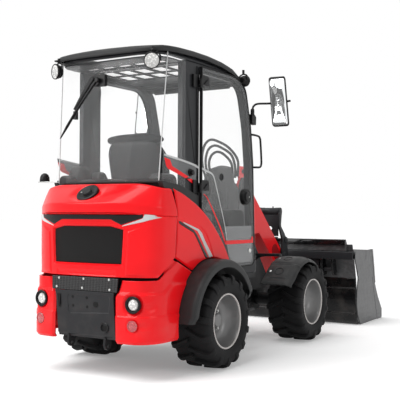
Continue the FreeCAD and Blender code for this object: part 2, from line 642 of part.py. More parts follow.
arm_length = math.hypot(arm_run, arm_rise)
lift_u, lift_v = 400, -151
tilt_u, tilt_v = 340, -35
lever_u, lever_v = 1250, 8
arm_outline = [(-30, -70), (80, -boom_depth), (arm_length - 150, -boom_depth), (arm_length, -tip_radius),
               (arm_length, tip_radius), (arm_length - 150, boom_depth), (60, boom_depth), (-30, 70)]
ear_outline = [(lift_u - 130, -boom_depth), (lift_u - 40, lift_v - 36), (lift_u + 40, lift_v - 36),
               (lift_u + 130, -boom_depth), (lift_u + 130, -boom_depth + 20),
               (lift_u - 130, -boom_depth + 20)]
arm_sides = []
for _, side in SIDES:
    low, high = mirrored(side, boom_half - boom_plate, boom_half)
    arm_sides += [side_plate(arm_outline, low, high), side_plate(ear_outline, low, high),
                  rod(75, boom_plate, 0, low, 0), rod(tip_radius, boom_plate, arm_length, low, 0)]
    stub_low, stub_high = mirrored(side, boom_half, boom_half + lever_plate + 10)
    arm_sides.append(rod(link_pin, stub_high - stub_low, lever_u, stub_low, lever_v))
    boss_low, boss_high = mirrored(side, 46, boom_half - boom_plate)
    arm_sides.append(rod(36, boss_high - boss_low, lift_u, boss_low, lift_v))
web = boom_half - boom_plate
arm_sides.append(box(80, lift_u - 110, -web, web, -boom_depth, -boom_depth + 12))
arm_sides.append(box(lift_u + 110, arm_length - 180, -web, web, -boom_depth, -boom_depth + 12))
arm_sides.append(box(60, 350, -web, web, boom_depth - 12, boom_depth))
arm_sides.append(rod(link_pin, web * 2, tilt_u, -web, tilt_v))
arm_bores = [rod(pin_radius + running_gap, 300, 0, -150, 0),
             rod(link_pin + running_gap, 300, arm_length, -150, 0)]
node("lift_arm", cut(fuse(*arm_sides), *arm_bores), front_axle_x + arm_pivot_x, 0, arm_pivot_z, -arm_angle)


# ---------------------------------------------------------------------------- cylinders
eye_bore = 14                      # open eyes of the cylinder rods and of the tilt link's front end


def cylinder(name, base, tip, closed, barrel_radius, rod_radius, eye_width, base_bore):
    """Barrel and rod along local X from the base pin to the tip pin; closed is the shortest pin distance."""
    reach = math.hypot(tip[0] - base[0], tip[1] - base[1])
    angle = math.degrees(math.atan2(tip[1] - base[1], tip[0] - base[0]))
    eye = 34
    gland = closed - eye - 12
    stop = 48
    half = size(eye_width) / 2
    barrel = fuse(rod(eye, eye_width, 0, -half, 0), rod(barrel_radius, gland - 20, 20, 0, 0, "x"))
    hollow = rod(rod_radius + running_gap, gland, stop, 0, 0, "x")
    node(f"{name}_barrel", cut(barrel, hollow, rod(size(base_bore) + running_gap, 300, 0, -150, 0)),
         front_axle_x + base[0], 0, base[1], -angle)
    inner_end = reach - closed + stop + 4
    shaft = fuse(rod(eye, eye_width, reach, -half, 0),
                 rod(rod_radius, reach - 20 - inner_end, inner_end, 0, 0, "x"))
    node(f"{name}_rod", cut(shaft, rod(eye_bore, 300, reach, -150, 0)),
         front_axle_x + base[0], 0, base[1], -angle)


cylinder("lift_cylinder", (lift_base_x, lift_base_z), along_arm(lift_u, lift_v), 712, 42, 22, 70, link_pin)
lever_pin = along_arm(lever_u, lever_v)
eye_pin = (556, 712)
link_rear = (591, 860)
link_front = (878, 405)
tube_pin = (490, 1140)
cylinder("tilt_cylinder", along_arm(tilt_u, tilt_v), eye_pin, 668, 36, 18, 56, link_pin)

# ---------------------------------------------------------------------------- tilt lever and link
lever_line = [(lever_pin[0] - 45, lever_pin[1]), (lever_pin[0] - 20, lever_pin[1] - 42),
              (lever_pin[0] + 20, lever_pin[1] - 42), (lever_pin[0] + 42, lever_pin[1]),
              (lever_pin[0] + 40, lever_pin[1] + 230), (link_rear[0] + 55, link_rear[1] + 60),
              (tube_pin[0] + 40, tube_pin[1] - 130), (tube_pin[0] + 40, tube_pin[1] + 10),
              (tube_pin[0] + 15, tube_pin[1] + 40), (tube_pin[0] - 15, tube_pin[1] + 40),
              (tube_pin[0] - 40, tube_pin[1] + 10), (tube_pin[0] - 38, tube_pin[1] - 140),
              (link_rear[0] - 66, link_rear[1]), (eye_pin[0] - 46, eye_pin[1] + 10),
              (eye_pin[0] - 30, eye_pin[1] - 34)]
rear_pin = 17                      # pin that carries the tilt link
lever_pieces = []
for _, side in SIDES:
    low, high = mirrored(side, boom_half + 7, boom_half + 7 + lever_plate)
    lever_pieces.append(side_plate(lever_line, low, high))
lever_in = boom_half + 7
lever_pieces += [rod(36, lever_in * 2, tube_pin[0], -lever_in, tube_pin[1]),
                 rod(rear_pin, lever_in * 2, link_rear[0], -lever_in, link_rear[1])]
lever_bore = rod(link_pin + running_gap, 400, lever_pin[0], -200, lever_pin[1])
node("tilt_lever", cut(fuse(*lever_pieces), lever_bore), front_axle_x)

link_length = math.hypot(link_front[0] - link_rear[0], link_front[1] - link_rear[1])
link_angle = math.degrees(math.atan2(link_front[1] - link_rear[1], link_front[0] - link_rear[0]))
bar = fuse(box(0, link_length, -20, 20, -22, 22), rod(30, 44, 0, -22, 0), rod(30, 44, link_length, -22, 0))
node("tilt_link", cut(bar, rod(rear_pin + running_gap, 100, 0, -50, 0),
                      rod(eye_bore, 100, link_length, -50, 0)),
     front_axle_x + link_rear[0], 0, link_rear[1], -link_angle)

# ---------------------------------------------------------------------------- coupler
face_x = arm_tip_x + 72
coupler_top = 655
coupler_pieces = [box(face_x, face_x + 20, -300, 300, 230, coupler_top)]
for _, side in SIDES:
    low, high = mirrored(side, boom_half + 8, boom_half + 28)
    coupler_pieces.append(box(arm_tip_x, face_x, low, high, arm_tip_z - 45, arm_tip_z + 45))
    coupler_pieces.append(rod(45, 20, arm_tip_x, low, arm_tip_z))
    low, high = mirrored(side, 30, 48)
    coupler_pieces.append(side_plate([(face_x, arm_tip_z + 35), (face_x, link_front[1] + 60),
                                      (link_front[0] - 20, link_front[1] + 28),
                                      (link_front[0] - 28, link_front[1] - 15),
                                      (link_front[0] + 20, link_front[1] - 30)], low, high))
pin_reach = boom_half + 28
coupler_pieces.append(rod(link_pin, pin_reach * 2, arm_tip_x, -pin_reach, arm_tip_z))
node("quick_coupler", fuse(*coupler_pieces), front_axle_x)

# ---------------------------------------------------------------------------- bucket
back_outer = [(1160, 0), (1112, 100), (1092, 240), (1096, 360), (1062, 560), (1010, bucket_top), (985, 830)]
back_inner = [(997, 832), (1023, bucket_top + 2), (1075, 562), (1109, 362), (1105, 242), (1124, 106),
              (1170, 14)]
shell = side_plate(back_outer + back_inner + [(front_reach, 14), (front_reach, 0)],
                   -bucket_half + bucket_wall, bucket_half - bucket_wall)
bucket_pieces = [shell]
for _, side in SIDES:
    low, high = mirrored(side, bucket_half - bucket_wall, bucket_half)
    cheek = [(1160, 0), (front_reach, 0), (front_reach - 270, 720), (1010, bucket_top)]
    bucket_pieces.append(side_plate(cheek + [(1062, 560), (1096, 360), (1092, 240), (1112, 100)], low, high))
    low, high = mirrored(side, 220, 240)
    gusset = [(face_x + 20, 300), (1100, 300), (1066, 560), (face_x + 20, 560)]
    bucket_pieces.append(side_plate(gusset, low, high))
bucket_pieces.append(box(950, 1020, -bucket_half + bucket_wall, bucket_half - bucket_wall, 655, 725))
node("bucket", fuse(*bucket_pieces), front_axle_x)

# ---------------------------------------------------------------------------- checks and files
doc.recompute()
for thing in doc.Objects:
    if "Invalid" in thing.State or "Error" in thing.State:
        raise RuntimeError(f"{thing.Label} did not compute: {thing.State}")
os.makedirs("parts", exist_ok=True)
for thing in nodes:
    if thing.Shape.isNull() or not thing.Shape.isValid():
        raise RuntimeError(f"{thing.Label} has no valid shape")
    thing.Shape.exportStep(os.path.join("parts", thing.Label + ".step"))
    print(thing.Label, len(thing.Shape.Solids), round(thing.Shape.Volume / 1e6, 2))
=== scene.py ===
import json
import math

import bmesh
import bpy
import numpy as np
from mathutils import Euler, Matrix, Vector


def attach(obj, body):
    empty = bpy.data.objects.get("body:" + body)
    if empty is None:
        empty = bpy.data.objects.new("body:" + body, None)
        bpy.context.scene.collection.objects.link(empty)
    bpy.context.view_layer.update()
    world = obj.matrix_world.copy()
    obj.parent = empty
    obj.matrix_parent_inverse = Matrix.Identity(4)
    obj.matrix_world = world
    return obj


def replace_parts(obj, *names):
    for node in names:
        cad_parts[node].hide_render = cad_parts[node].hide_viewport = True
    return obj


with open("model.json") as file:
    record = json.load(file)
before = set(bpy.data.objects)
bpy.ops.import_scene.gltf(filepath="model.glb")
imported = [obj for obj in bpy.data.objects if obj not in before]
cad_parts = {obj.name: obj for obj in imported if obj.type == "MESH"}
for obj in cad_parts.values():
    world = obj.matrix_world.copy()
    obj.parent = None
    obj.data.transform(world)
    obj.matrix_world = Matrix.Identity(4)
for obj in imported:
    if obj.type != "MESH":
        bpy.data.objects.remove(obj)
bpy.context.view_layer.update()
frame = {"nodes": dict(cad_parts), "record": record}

# Compact articulated wheel loader.  Metres.  Shapes are written ahead of the rear or the front axle, with y
# from the middle line (left is positive) and z from the ground, and moved to their axle when they are made.

record = frame["record"]
joints = {joint["name"]: joint for joint in record["behaviour"]["joints"]}
REAR = np.array([joints["wheel_rear_left_spin"]["pos_m"][0], 0, 0])
FRONT = np.array([joints["wheel_front_left_spin"]["pos_m"][0], 0, 0])
HALF_TRACK = joints["wheel_rear_left_spin"]["pos_m"][1]
TYRE_RADIUS = joints["wheel_rear_left_spin"]["pos_m"][2]
SIDES = (("left", 1), ("right", -1))
UP = np.array([0.0, 0.0, 1.0])


# ---------------------------------------------------------------------------- curves
def smoothstep(x):
    x = np.clip(x, 0, 1)
    return x * x * (3 - 2 * x)


def unit(v):
    return v / np.linalg.norm(v, axis=-1, keepdims=True)


def curve(points, count):
    """Catmull-Rom curve through the points, spaced evenly along its length."""
    p = np.asarray(points, float)
    p = np.concatenate([2 * p[:1] - p[1:2], p, 2 * p[-1:] - p[-2:-1]])
    spans = len(p) - 3
    t = np.linspace(0, spans, spans * 24 + 1)
    k = np.minimum(t.astype(int), spans - 1)
    f = (t - k)[:, None]
    a, b, c, d = p[k], p[k + 1], p[k + 2], p[k + 3]
    fine = 0.5 * (2 * b + (c - a) * f + (2 * a - 5 * b + 4 * c - d) * f ** 2 + (3 * b - a - 3 * c + d) * f ** 3)
    return even(fine, count)


def even(line, count, closed=False):
    """A polyline's points spaced evenly by length."""
    line = np.asarray(line, float)
    length = np.concatenate([[0], np.cumsum(np.linalg.norm(np.diff(line, axis=0), axis=1))])
    at = np.linspace(0, length[-1], count, endpoint=not closed)
    return np.stack([np.interp(at, length, line[:, i]) for i in range(line.shape[1])], axis=1)


def bspline(controls, at):
    """Clamped cubic B-spline over the first axis of the controls, read at parameters from 0 to 1."""
    controls = np.asarray(controls, float)
    n, degree = len(controls), 3
    knots = np.concatenate([np.zeros(degree), np.linspace(0, 1, n - degree + 1), np.ones(degree)])
    t = np.clip(np.asarray(at, float), 0, 1 - 1e-9)[:, None]
    basis = ((knots[:-1] <= t) & (t < knots[1:])).astype(float)
    for d in range(1, degree + 1):
        run = knots[d:] - knots[:-d]
        safe = np.where(run == 0, 1, run)
        left = np.where(run[:-1] == 0, 0, (t - knots[:-d - 1]) / safe[:-1]) * basis[:, :-1]
        right = np.where(run[1:] == 0, 0, (knots[d + 1:] - t) / safe[1:]) * basis[:, 1:]
        basis = left + right
    return np.tensordot(basis, controls, axes=(1, 0))


def rounded(points, radius, steps=5):
    """Closed outline with its corners turned into arcs: each corner is a quadratic bend between two stops."""
    p = np.asarray(points, float)
    before, after = np.roll(p, 1, axis=0) - p, np.roll(p, -1, axis=0) - p
    lengths = [np.linalg.norm(side, axis=1)[:, None] for side in (before, after)]
    reach = np.minimum(np.broadcast_to(np.asarray(radius, float).reshape(-1, 1), (len(p), 1)),
                       0.49 * np.minimum(*lengths))
    a, b = p + before / lengths[0] * reach, p + after / lengths[1] * reach
    t = np.linspace(0, 1, steps)[None, :, None]
    bend = (1 - t) ** 2 * a[:, None] + 2 * t * (1 - t) * p[:, None] + t ** 2 * b[:, None]
    return bend.reshape(-1, p.shape[1])


def oblong(x0, x1, y0, y1, radius, steps=5):
    """Rounded rectangle between two places on each axis."""
    return rounded([(x0, y0), (x1, y0), (x1, y1), (x0, y1)], radius, steps)


def left_of(line):
    """Unit normals on the left of an open line, one at each of its points."""
    along = unit(np.gradient(line, axis=0))
    return np.stack([-along[:, 1], along[:, 0]], axis=1)


def inside(points, corners):
    """Depth of points inside a convex outline, given anticlockwise: the least distance to its edges."""
    c = np.asarray(corners, float)
    edge = unit(np.roll(c, -1, axis=0) - c)
    normal = np.stack([-edge[:, 1], edge[:, 0]], axis=1)
    return (points @ normal.T - (c * normal).sum(axis=1)).min(axis=-1)


# ---------------------------------------------------------------------------- shells: (points, [faces])
def surface(p, wrap_u=False, wrap_v=False):
    """Quads over a grid of points: rows run along u, columns along v."""
    p = np.asarray(p, float)
    nu, nv = p.shape[:2]
    i = np.arange(nu if wrap_u else nu - 1)[:, None]
    j = np.arange(nv if wrap_v else nv - 1)[None, :]
    i2, j2 = (i + 1) % nu, (j + 1) % nv
    quads = np.stack([i * nv + j, i2 * nv + j, i2 * nv + j2, i * nv + j2], axis=-1).reshape(-1, 4)
    return p.reshape(-1, 3), [quads]


def merged(*shells):
    """Several shells as one."""
    starts = np.cumsum([0] + [len(points) for points, _ in shells])
    faces = [block + start for (_, blocks), start in zip(shells, starts) for block in blocks]
    return np.concatenate([points for points, _ in shells]), faces


def moved(shell, offset):
    return shell[0] + np.asarray(offset, float), shell[1]


def flipped(shell):
    """Mirror image across the middle plane."""
    return shell[0] * (1, -1, 1), [block[:, ::-1] for block in shell[1]]


def both(shell):
    return merged(shell, flipped(shell))


def sided(shell, side):
    return shell if side > 0 else flipped(shell)


def capped(p):
    """Skin over rings of points, one ring a row, closed at both ends."""
    points, faces = surface(p, wrap_v=True)
    n = len(p[0])
    return points, faces + [np.arange(n)[None, ::-1], len(points) - n + np.arange(n)[None, :]]


PLANES = {"xz": (0, 2, 1), "xy": (0, 1, 2), "yz": (1, 2, 0)}     # the outline's two axes, and the one across them


def slab(outline, low, high, plane="xz"):
    """Outline carried from low to high along the axis across its plane, with both ends closed."""
    first, second, across = PLANES[plane]
    p = np.zeros((2, len(outline), 3))
    p[..., [first, second]], p[..., across] = outline, [[low], [high]]
    return capped(p)


def block(x0, x1, y0, y1, z0, z1):
    return slab([(x0, z0), (x1, z0), (x1, z1), (x0, z1)], y0, y1)


def swept(path, profile, size=1.0):
    """Closed profile (side, up) carried along a path, scaled by size at each station, with its ends closed.
    The side direction stays square to the path's own mean plane."""
    along = unit(np.gradient(path, axis=0))
    across = np.linalg.svd(path - path.mean(axis=0), full_matrices=True)[2][2]
    side = unit(across - (along @ across)[:, None] * along)
    up = np.cross(along, side)
    ring = profile[None] * (size + np.zeros(len(path)))[:, None, None]
    return capped(path[:, None] + ring[..., :1] * side[:, None] + ring[..., 1:] * up[:, None])


def tube(points, radius, count, sides):
    """Round bar along a curve through the points."""
    t = np.linspace(0, 2 * math.pi, sides, endpoint=False)
    return swept(curve(points, count), radius * np.stack([np.cos(t), np.sin(t)], axis=1))


def turned(profile, origin, axis, steps=40, closed=False):
    """Profile (radius, distance along the axis) turned once round the axis; a closed one gives a hoop."""
    profile = np.asarray(profile, float)
    axis = unit(np.asarray(axis, float))
    helper = UP if abs(axis[2]) < 0.9 else np.array([1.0, 0, 0])
    a = unit(np.cross(helper, axis))
    b = np.cross(axis, a)
    t = np.linspace(0, 2 * math.pi, steps, endpoint=False)[:, None, None]
    p = np.asarray(origin, float) + profile[None, :, 1:] * axis + profile[None, :, :1] * (np.cos(t) * a
                                                                                      + np.sin(t) * b)
    return surface(p, wrap_u=True, wrap_v=closed)


def rod(origin, axis, radius, low, high):
    """Plain cylinder from low to high along an axis."""
    return turned([(0, low), (radius, low), (radius, high), (0, high)], origin, axis, 24)


def disc(origin, axis, radius, depth, steps, rim=0.0015):
    """Flat round plate with a softened rim."""
    profile = [(0, 0), (radius, 0), (radius, depth - rim), (radius - rim, depth), (0, depth)]
    return turned(profile, origin, axis, steps)


def bolts(places, axis, size=0.009, height=0.006):
    """Hexagon heads with a washer under each: one head repeated at every place."""
    profile = [(0, 0), (size * 1.5, 0), (size * 1.5, height * 0.25), (size, height * 0.25), (size, height * 0.9),
               (size * 0.85, height), (0, height)]
    one, faces = turned(profile, (0, 0, 0), axis, 6)
    places = np.asarray(places, float).reshape(-1, 3)
    points = (places[:, None] + one[None]).reshape(-1, 3)
    steps = np.arange(len(places))[:, None, None] * len(one)
    return points, [(block[None] + steps).reshape(-1, block.shape[1]) for block in faces]


def coons(bottom, top, left, right):
    """Patch between four edge curves given as equal arrays: rows run from bottom to top."""
    u = np.linspace(0, 1, len(bottom))[None, :, None]
    v = np.linspace(0, 1, len(left))[:, None, None]
    b, t, l, r = bottom[None], top[None], left[:, None], right[:, None]
    corners = ((1 - u) * (1 - v) * bottom[0] + u * (1 - v) * bottom[-1]
               + (1 - u) * v * top[0] + u * v * top[-1])
    return (1 - v) * b + v * t + (1 - u) * l + u * r - corners


# ---------------------------------------------------------------------------- finishes
class Value:
    """A shader socket that ordinary arithmetic extends with Math nodes."""

    def __init__(self, finish, socket):
        self.finish, self.socket = finish, socket

    def math(self, operation, *others):
        return self.finish.node("Math", {"operation": operation}, dict(enumerate((self,) + others)))

    def __add__(self, other):
        return self.math("ADD", other)

    def __mul__(self, other):
        return self.math("MULTIPLY", other)

    def __rsub__(self, other):
        return self.finish.node("Math", {"operation": "SUBTRACT"}, {0: other, 1: self})

    __radd__, __rmul__ = __add__, __mul__

    def smooth(self, low, high):
        """0 below low, 1 above high, with a soft slope between."""
        return self.finish.node("MapRange", {"interpolation_type": "SMOOTHSTEP"},
                                {"Value": self, "From Min": low, "From Max": high})


class Finish:
    """One material: its Principled shader, and one short way to add any node."""

    def __init__(self, name, color, roughness, constants=None):
        self.material = bpy.data.materials.new(name)
        self.material.use_nodes = True
        self.tree = self.material.node_tree
        self.shader = self.tree.nodes["Principled BSDF"]
        self.shader.inputs["Base Color"].default_value = (*color, 1)
        self.shader.inputs["Roughness"].default_value = roughness
        for key, value in (constants or {}).items():
            self.shader.inputs[key].default_value = value

    def node(self, kind, settings=None, inputs=None, output=0):
        node = self.tree.nodes.new("ShaderNode" + kind)
        for key, value in (settings or {}).items():
            setattr(node, key, value)
        for key, value in (inputs or {}).items():
            if isinstance(value, Value):
                self.tree.links.new(value.socket, node.inputs[key])
            else:
                node.inputs[key].default_value = value
        return Value(self, node.outputs[output])

    def place(self):
        return self.node("TexCoord", output="Object")

    def axis(self, letter):
        return self.node("SeparateXYZ", inputs={0: self.place()}, output="XYZ".index(letter))

    def noise(self, scale, detail=2.0, stretch=(1, 1, 1)):
        place = self.node("VectorMath", {"operation": "MULTIPLY"}, {0: self.place(), 1: stretch})
        return self.node("TexNoise", inputs={"Vector": place, "Scale": scale, "Detail": detail})

    def mix(self, factor, first, second):
        colors = [color if isinstance(color, Value) else (*color, 1) for color in (first, second)]
        return self.node("Mix", {"data_type": "RGBA"}, {0: factor, 6: colors[0], 7: colors[1]}, output=2)

    def set(self, socket, value):
        self.tree.links.new(value.socket, self.shader.inputs[socket])
        return self

    def bump(self, height, distance, strength=1.0):
        return self.set("Normal", self.node("Bump", inputs={"Height": height, "Distance": distance,
                                                            "Strength": strength}))


def painted(name, color, roughness, coat, metallic=0.0, fade=0.06, peel=0.00025):
    """Sprayed paint: faint cloudiness, orange peel, and a little road dust low down."""
    f = Finish(name, color, roughness, {"Metallic": metallic, "Coat Weight": coat, "Coat Roughness": 0.06,
                                        "Specular IOR Level": 0.12})
    cloud = f.noise(2.2, 3.0)
    dust = (1 - f.axis("Z").smooth(0.15, 0.75)) * f.noise(9.0, 5.0).smooth(0.35, 0.8)
    tone = f.mix(cloud.smooth(0.3, 0.7), color, [c * (1 + 1.6 * fade) for c in color])
    f.set("Base Color", f.mix(dust * 0.10, tone, (0.30, 0.27, 0.24)))
    f.set("Roughness", cloud * 0.05 + (roughness - 0.02) + dust * 0.12)
    return f.bump(f.noise(140.0, 1.0), peel, 0.35)


def moulded(name, color, roughness, grain=900.0, depth=0.0003, dusty=0.10):
    """Moulded plastic or rubber: fine grain, and dust that settles on faces turned upwards."""
    f = Finish(name, color, roughness, {"Specular IOR Level": 0.2})
    facing = f.node("SeparateXYZ", inputs={0: f.node("NewGeometry", output="Normal")}, output=2)
    settled = facing.smooth(0.2, 1.0) * f.noise(14.0, 5.0).smooth(0.3, 0.75)
    cloud = f.noise(5.0, 4.0)
    tone = f.mix(cloud, [c * 0.8 for c in color], [c * 1.25 + 0.001 for c in color])
    f.set("Base Color", f.mix(settled * dusty, tone, (0.23, 0.22, 0.21)))
    f.set("Roughness", cloud * 0.12 + (roughness - 0.06))
    return f.bump(f.noise(grain, 2.0), depth, 0.5)


def machined(name, color, roughness):
    """Bare or plated metal with fine turning marks."""
    f = Finish(name, color, roughness, {"Metallic": 1.0})
    marks = f.noise(60.0, 3.0, (1, 14, 1))
    f.set("Roughness", marks * 0.14 + (roughness - 0.07))
    return f.bump(marks, 0.0002, 0.25)


red = painted("red_gloss", (0.84, 0.0045, 0.009), 0.28, 0.2)
charcoal = painted("charcoal_satin", (0.020, 0.0205, 0.0225), 0.42, 0.1, peel=0.0004)
black_gloss = painted("black_gloss", (0.004, 0.004, 0.0045), 0.25, 0.3)
cast = moulded("cast_black", (0.009, 0.009, 0.010), 0.5, 260.0, 0.0009)
plastic = moulded("grained_black", (0.022, 0.0225, 0.023), 0.48)
trim = moulded("trim_black", (0.004, 0.004, 0.0045), 0.40, 1400.0, 0.0001, 0.04)
rubber = moulded("tyre_rubber", (0.0045, 0.0045, 0.005), 0.72, 420.0, 0.0005, 0.04)
seal = moulded("seal_rubber", (0.003, 0.003, 0.003), 0.65, 700.0, 0.0003, 0.02)
cab_grey = painted("cab_dark_grey", (0.020, 0.021, 0.023), 0.38, 0.1)
cloth = moulded("seat_cloth", (0.012, 0.012, 0.0135), 0.85, 1500.0, 0.0008, 0.0)
seat_shell = moulded("seat_shell", (0.022, 0.022, 0.024), 0.42, 700.0, 0.0003, 0.0)
red_dark = painted("red_shaded", (0.30, 0.003, 0.005), 0.30, 0.2)
steel_edge = machined("edge_steel", (0.30, 0.30, 0.30), 0.40)
silver = painted("silver_stripe", (0.56, 0.57, 0.57), 0.35, 0.2, fade=0.03)
# One grey paint on the real rim: the rolled edge's much paler copy is a painted highlight where the edge catches the
# light.
rim_grey = painted("rim_grey", (0.19, 0.19, 0.19), 0.36, 0.25, 0.35)
rim_edge_lit = painted("rim_edge_lit", (0.60, 0.57, 0.55), 0.34, 0.2, 0.2)
chrome = machined("chrome", (0.78, 0.79, 0.80), 0.12)
zinc = machined("zinc_plate", (0.55, 0.55, 0.54), 0.32)
# The mirror glows white as well as reflecting: its emission is a painted reflection of the bright surroundings.
mirror_face_glow = Finish("mirror_face_glow", (0.86, 0.88, 0.89), 0.015, {"Metallic": 1.0, "Emission Strength": 0.12,
                                                                "Emission Color": (1, 1, 1, 1)})
mirror_face_glow.set("Roughness", mirror_face_glow.noise(6.0, 1.0) * 0.01 + 0.008)


def glazing(name, color, alpha, glow):
    """Clear glass that lets most light through and whitens a little at a glance; its white glow is a painted
    reflection of the bright surroundings.
    """
    f = Finish(name, color, 0.02, {"IOR": 1.5, "Specular IOR Level": 0.5, "Emission Strength": glow,
                                   "Emission Color": (1, 1, 1, 1)})
    edge = f.node("LayerWeight", inputs={"Blend": 0.25}, output="Facing")
    f.set("Alpha", edge.smooth(0.25, 1.0) * 0.05 + alpha + f.noise(3.0, 2.0) * 0.012)
    return f


# The clear glass, windscreen included, glows white: a painted reflection of the bright surroundings.
glass = glazing("clear_glass", (0.55, 0.57, 0.57), 0.036, 0.50)
# The skylight's opal panel glows though it is no lamp: painted daylight shining through it.
opal_painted_glow = Finish("opal_panel", (0.80, 0.80, 0.80), 0.4, {"Emission Strength": 0.55, "Emission Color": (1, 1, 1, 1)})
opal_painted_glow.set("Base Color", opal_painted_glow.mix(opal_painted_glow.noise(8.0, 2.0), (0.76, 0.76, 0.76), (0.84, 0.84, 0.84)))
tint = glazing("tinted_film", (0.13, 0.135, 0.14), 0.80, 0.0)


def lens(name, color, glow, cells):
    """Lamp lens: a field of small round optics over a bright reflector."""
    f = Finish(name, color, 0.12, {"Coat Weight": 1.0, "Coat Roughness": 0.03, "Emission Strength": glow})
    f.shader.inputs["Emission Color"].default_value = (*color, 1)
    spots = f.node("TexVoronoi", {"feature": "F1"}, {"Vector": f.place(), "Scale": cells})
    f.set("Base Color", f.mix(spots.smooth(0.25, 0.6), color, [c * 0.55 for c in color]))
    return f.bump(1 - spots, 0.002, 0.6)


lamp_glass = lens("lamp_lens", (0.80, 0.79, 0.77), 0.12, 70.0)
# The red reflector is no lamp, yet it glows: its emission is a painted glint.
reflector_red = lens("reflector_red", (0.62, 0.06, 0.07), 0.06, 130.0)

steel_worn = Finish("bucket_grey", (0.085, 0.086, 0.088), 0.42, {"Metallic": 0.25, "Coat Weight": 0.1})
rub = steel_worn.noise(26.0, 6.0, (1, 1, 1.6)).smooth(0.42, 0.7)
streak = steel_worn.noise(7.0, 6.0, (5, 1, 1)).smooth(0.45, 0.75)
steel_worn.set("Base Color", steel_worn.mix(rub * 0.5 + streak * 0.25, (0.062, 0.063, 0.065), (0.135, 0.136, 0.138)))
steel_worn.set("Roughness", rub * 0.2 + 0.36)
steel_worn.bump(rub + steel_worn.noise(160.0, 2.0) * 0.5, 0.0004, 0.4)

grille_mesh = Finish("grille_mesh", (0.006, 0.006, 0.006), 0.6, {"Specular IOR Level": 0.15})
row = (grille_mesh.axis("Y") * (2 * math.pi / 0.009)).math("COSINE")
column = (grille_mesh.axis("Z") * (2 * math.pi / 0.009)).math("COSINE")
weave = (row * column).smooth(-0.4, 0.5)
grille_mesh.set("Base Color", grille_mesh.mix(weave, (0.002, 0.002, 0.002), (0.008, 0.008, 0.008)))
grille_mesh.bump(weave, 0.0012, 0.6)

vent_plate = Finish("vented_plate", (0.010, 0.010, 0.011), 0.4)
row = (vent_plate.axis("Y") * (2 * math.pi / 0.052) + 0.4).math("COSINE")
column = (vent_plate.axis("Z") * (2 * math.pi / 0.023) + 0.9).math("COSINE")
# The slot openings are painted near-black, as painted shade inside the holes; the same mask also sets their roughness
# and dents them.
shaded_slots = (row * column).smooth(0.15, 0.35) + (row * column * -1).smooth(0.15, 0.35)
vent_plate.set("Base Color", vent_plate.mix(shaded_slots, (0.016, 0.016, 0.017), (0.002, 0.002, 0.002)))
vent_plate.set("Roughness", shaded_slots * 0.4 + 0.34)
vent_plate.bump(1 - shaded_slots, 0.003, 0.8)


# ---------------------------------------------------------------------------- making a piece
def piece(name, shell, finish, body="rear_frame", slot="black_plastic", origin=REAR, bevel=0.0, wall=0.0,
          outward=None, angle=32.0, stands_for=None):
    """Mesh object from a shell: doubles merged, faces turned outwards, then its wall and its bevel."""
    points, faces = shell
    mesh = bpy.data.meshes.new(name)
    mesh.from_pydata((points + origin).tolist(), [], [face for group in faces for face in group.tolist()])
    work = bmesh.new()
    work.from_mesh(mesh)
    bmesh.ops.remove_doubles(work, verts=work.verts, dist=2e-5)
    bmesh.ops.dissolve_degenerate(work, edges=work.edges, dist=1e-6)
    if outward is None:
        bmesh.ops.recalc_face_normals(work, faces=work.faces)
    work.to_mesh(mesh)
    work.free()
    if outward is not None:
        normals, areas = np.zeros(len(mesh.polygons) * 3), np.zeros(len(mesh.polygons))
        mesh.polygons.foreach_get("normal", normals)
        mesh.polygons.foreach_get("area", areas)
        if (normals.reshape(-1, 3) * areas[:, None]).sum(axis=0) @ np.asarray(outward, float) < 0:
            mesh.flip_normals()
    mesh.shade_smooth()
    mesh.set_sharp_from_angle(angle=math.radians(angle))
    thing = bpy.data.objects.new(name, mesh)
    bpy.context.scene.collection.objects.link(thing)
    mesh.materials.append(finish.material)
    if wall:
        solid = thing.modifiers.new("wall", "SOLIDIFY")
        solid.thickness, solid.offset = wall, -1
    if bevel:
        edge = thing.modifiers.new("edge", "BEVEL")
        edge.width, edge.segments, edge.limit_method, edge.angle_limit = bevel, 2, "ANGLE", math.radians(35)
        edge.use_clamp_overlap = True
    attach(thing, body)
    if stands_for:
        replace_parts(thing, stands_for)
    return thing


def pair(name, shell, finish, body="rear_frame", slot="black_plastic", outward=None, stands_for="", **form):
    """The same piece on both sides: made for the left and mirrored for the right.  Braces take the side's name."""
    for tag, side in SIDES:
        piece(f"{name}_{tag}", sided(shell, side), finish, body.format(tag), slot, stands_for=stands_for.format(tag),
              outward=None if outward is None else np.multiply(outward, (1, side, 1)), **form)


def dress(finish, *names):
    """Give a CAD node's own mesh a finish."""
    for name in names:
        for place in frame["nodes"][name].material_slots:
            place.material = finish.material


# ---------------------------------------------------------------------------- plan of the bodywork
def plan_line(points):
    """Half of a plan outline from the middle line to the seam: (x, y) with its length along the curve."""
    line = curve(points, 400)
    length = np.concatenate([[0], np.cumsum(np.linalg.norm(np.diff(line, axis=0), axis=1))])
    return line, length


BODY = plan_line([(-.800, 0), (-.798, .120), (-.790, .240), (-.772, .330), (-.738, .425), (-.702, .486),
                  (-.645, .522), (-.560, .533), (-.450, .535), (-.320, .535), (-.220, .535)])
BROW = plan_line([(-.884, 0), (-.877, .130), (-.850, .250), (-.806, .345), (-.752, .425), (-.697, .488),
                  (-.640, .526), (-.560, .537), (-.450, .5385), (-.320, .5385)])
CROWN = plan_line([(-.706, 0), (-.704, .150), (-.697, .280), (-.683, .380), (-.655, .455), (-.612, .497),
                   (-.555, .512), (-.480, .516), (-.400, .517), (-.320, .517)])


WEIGHT = plan_line([(-.812, 0), (-.810, .150), (-.806, .300), (-.797, .400), (-.765, .462), (-.705, .508),
                    (-.630, .530), (-.550, .534), (-.450, .535), (-.320, .535), (-.220, .535)])


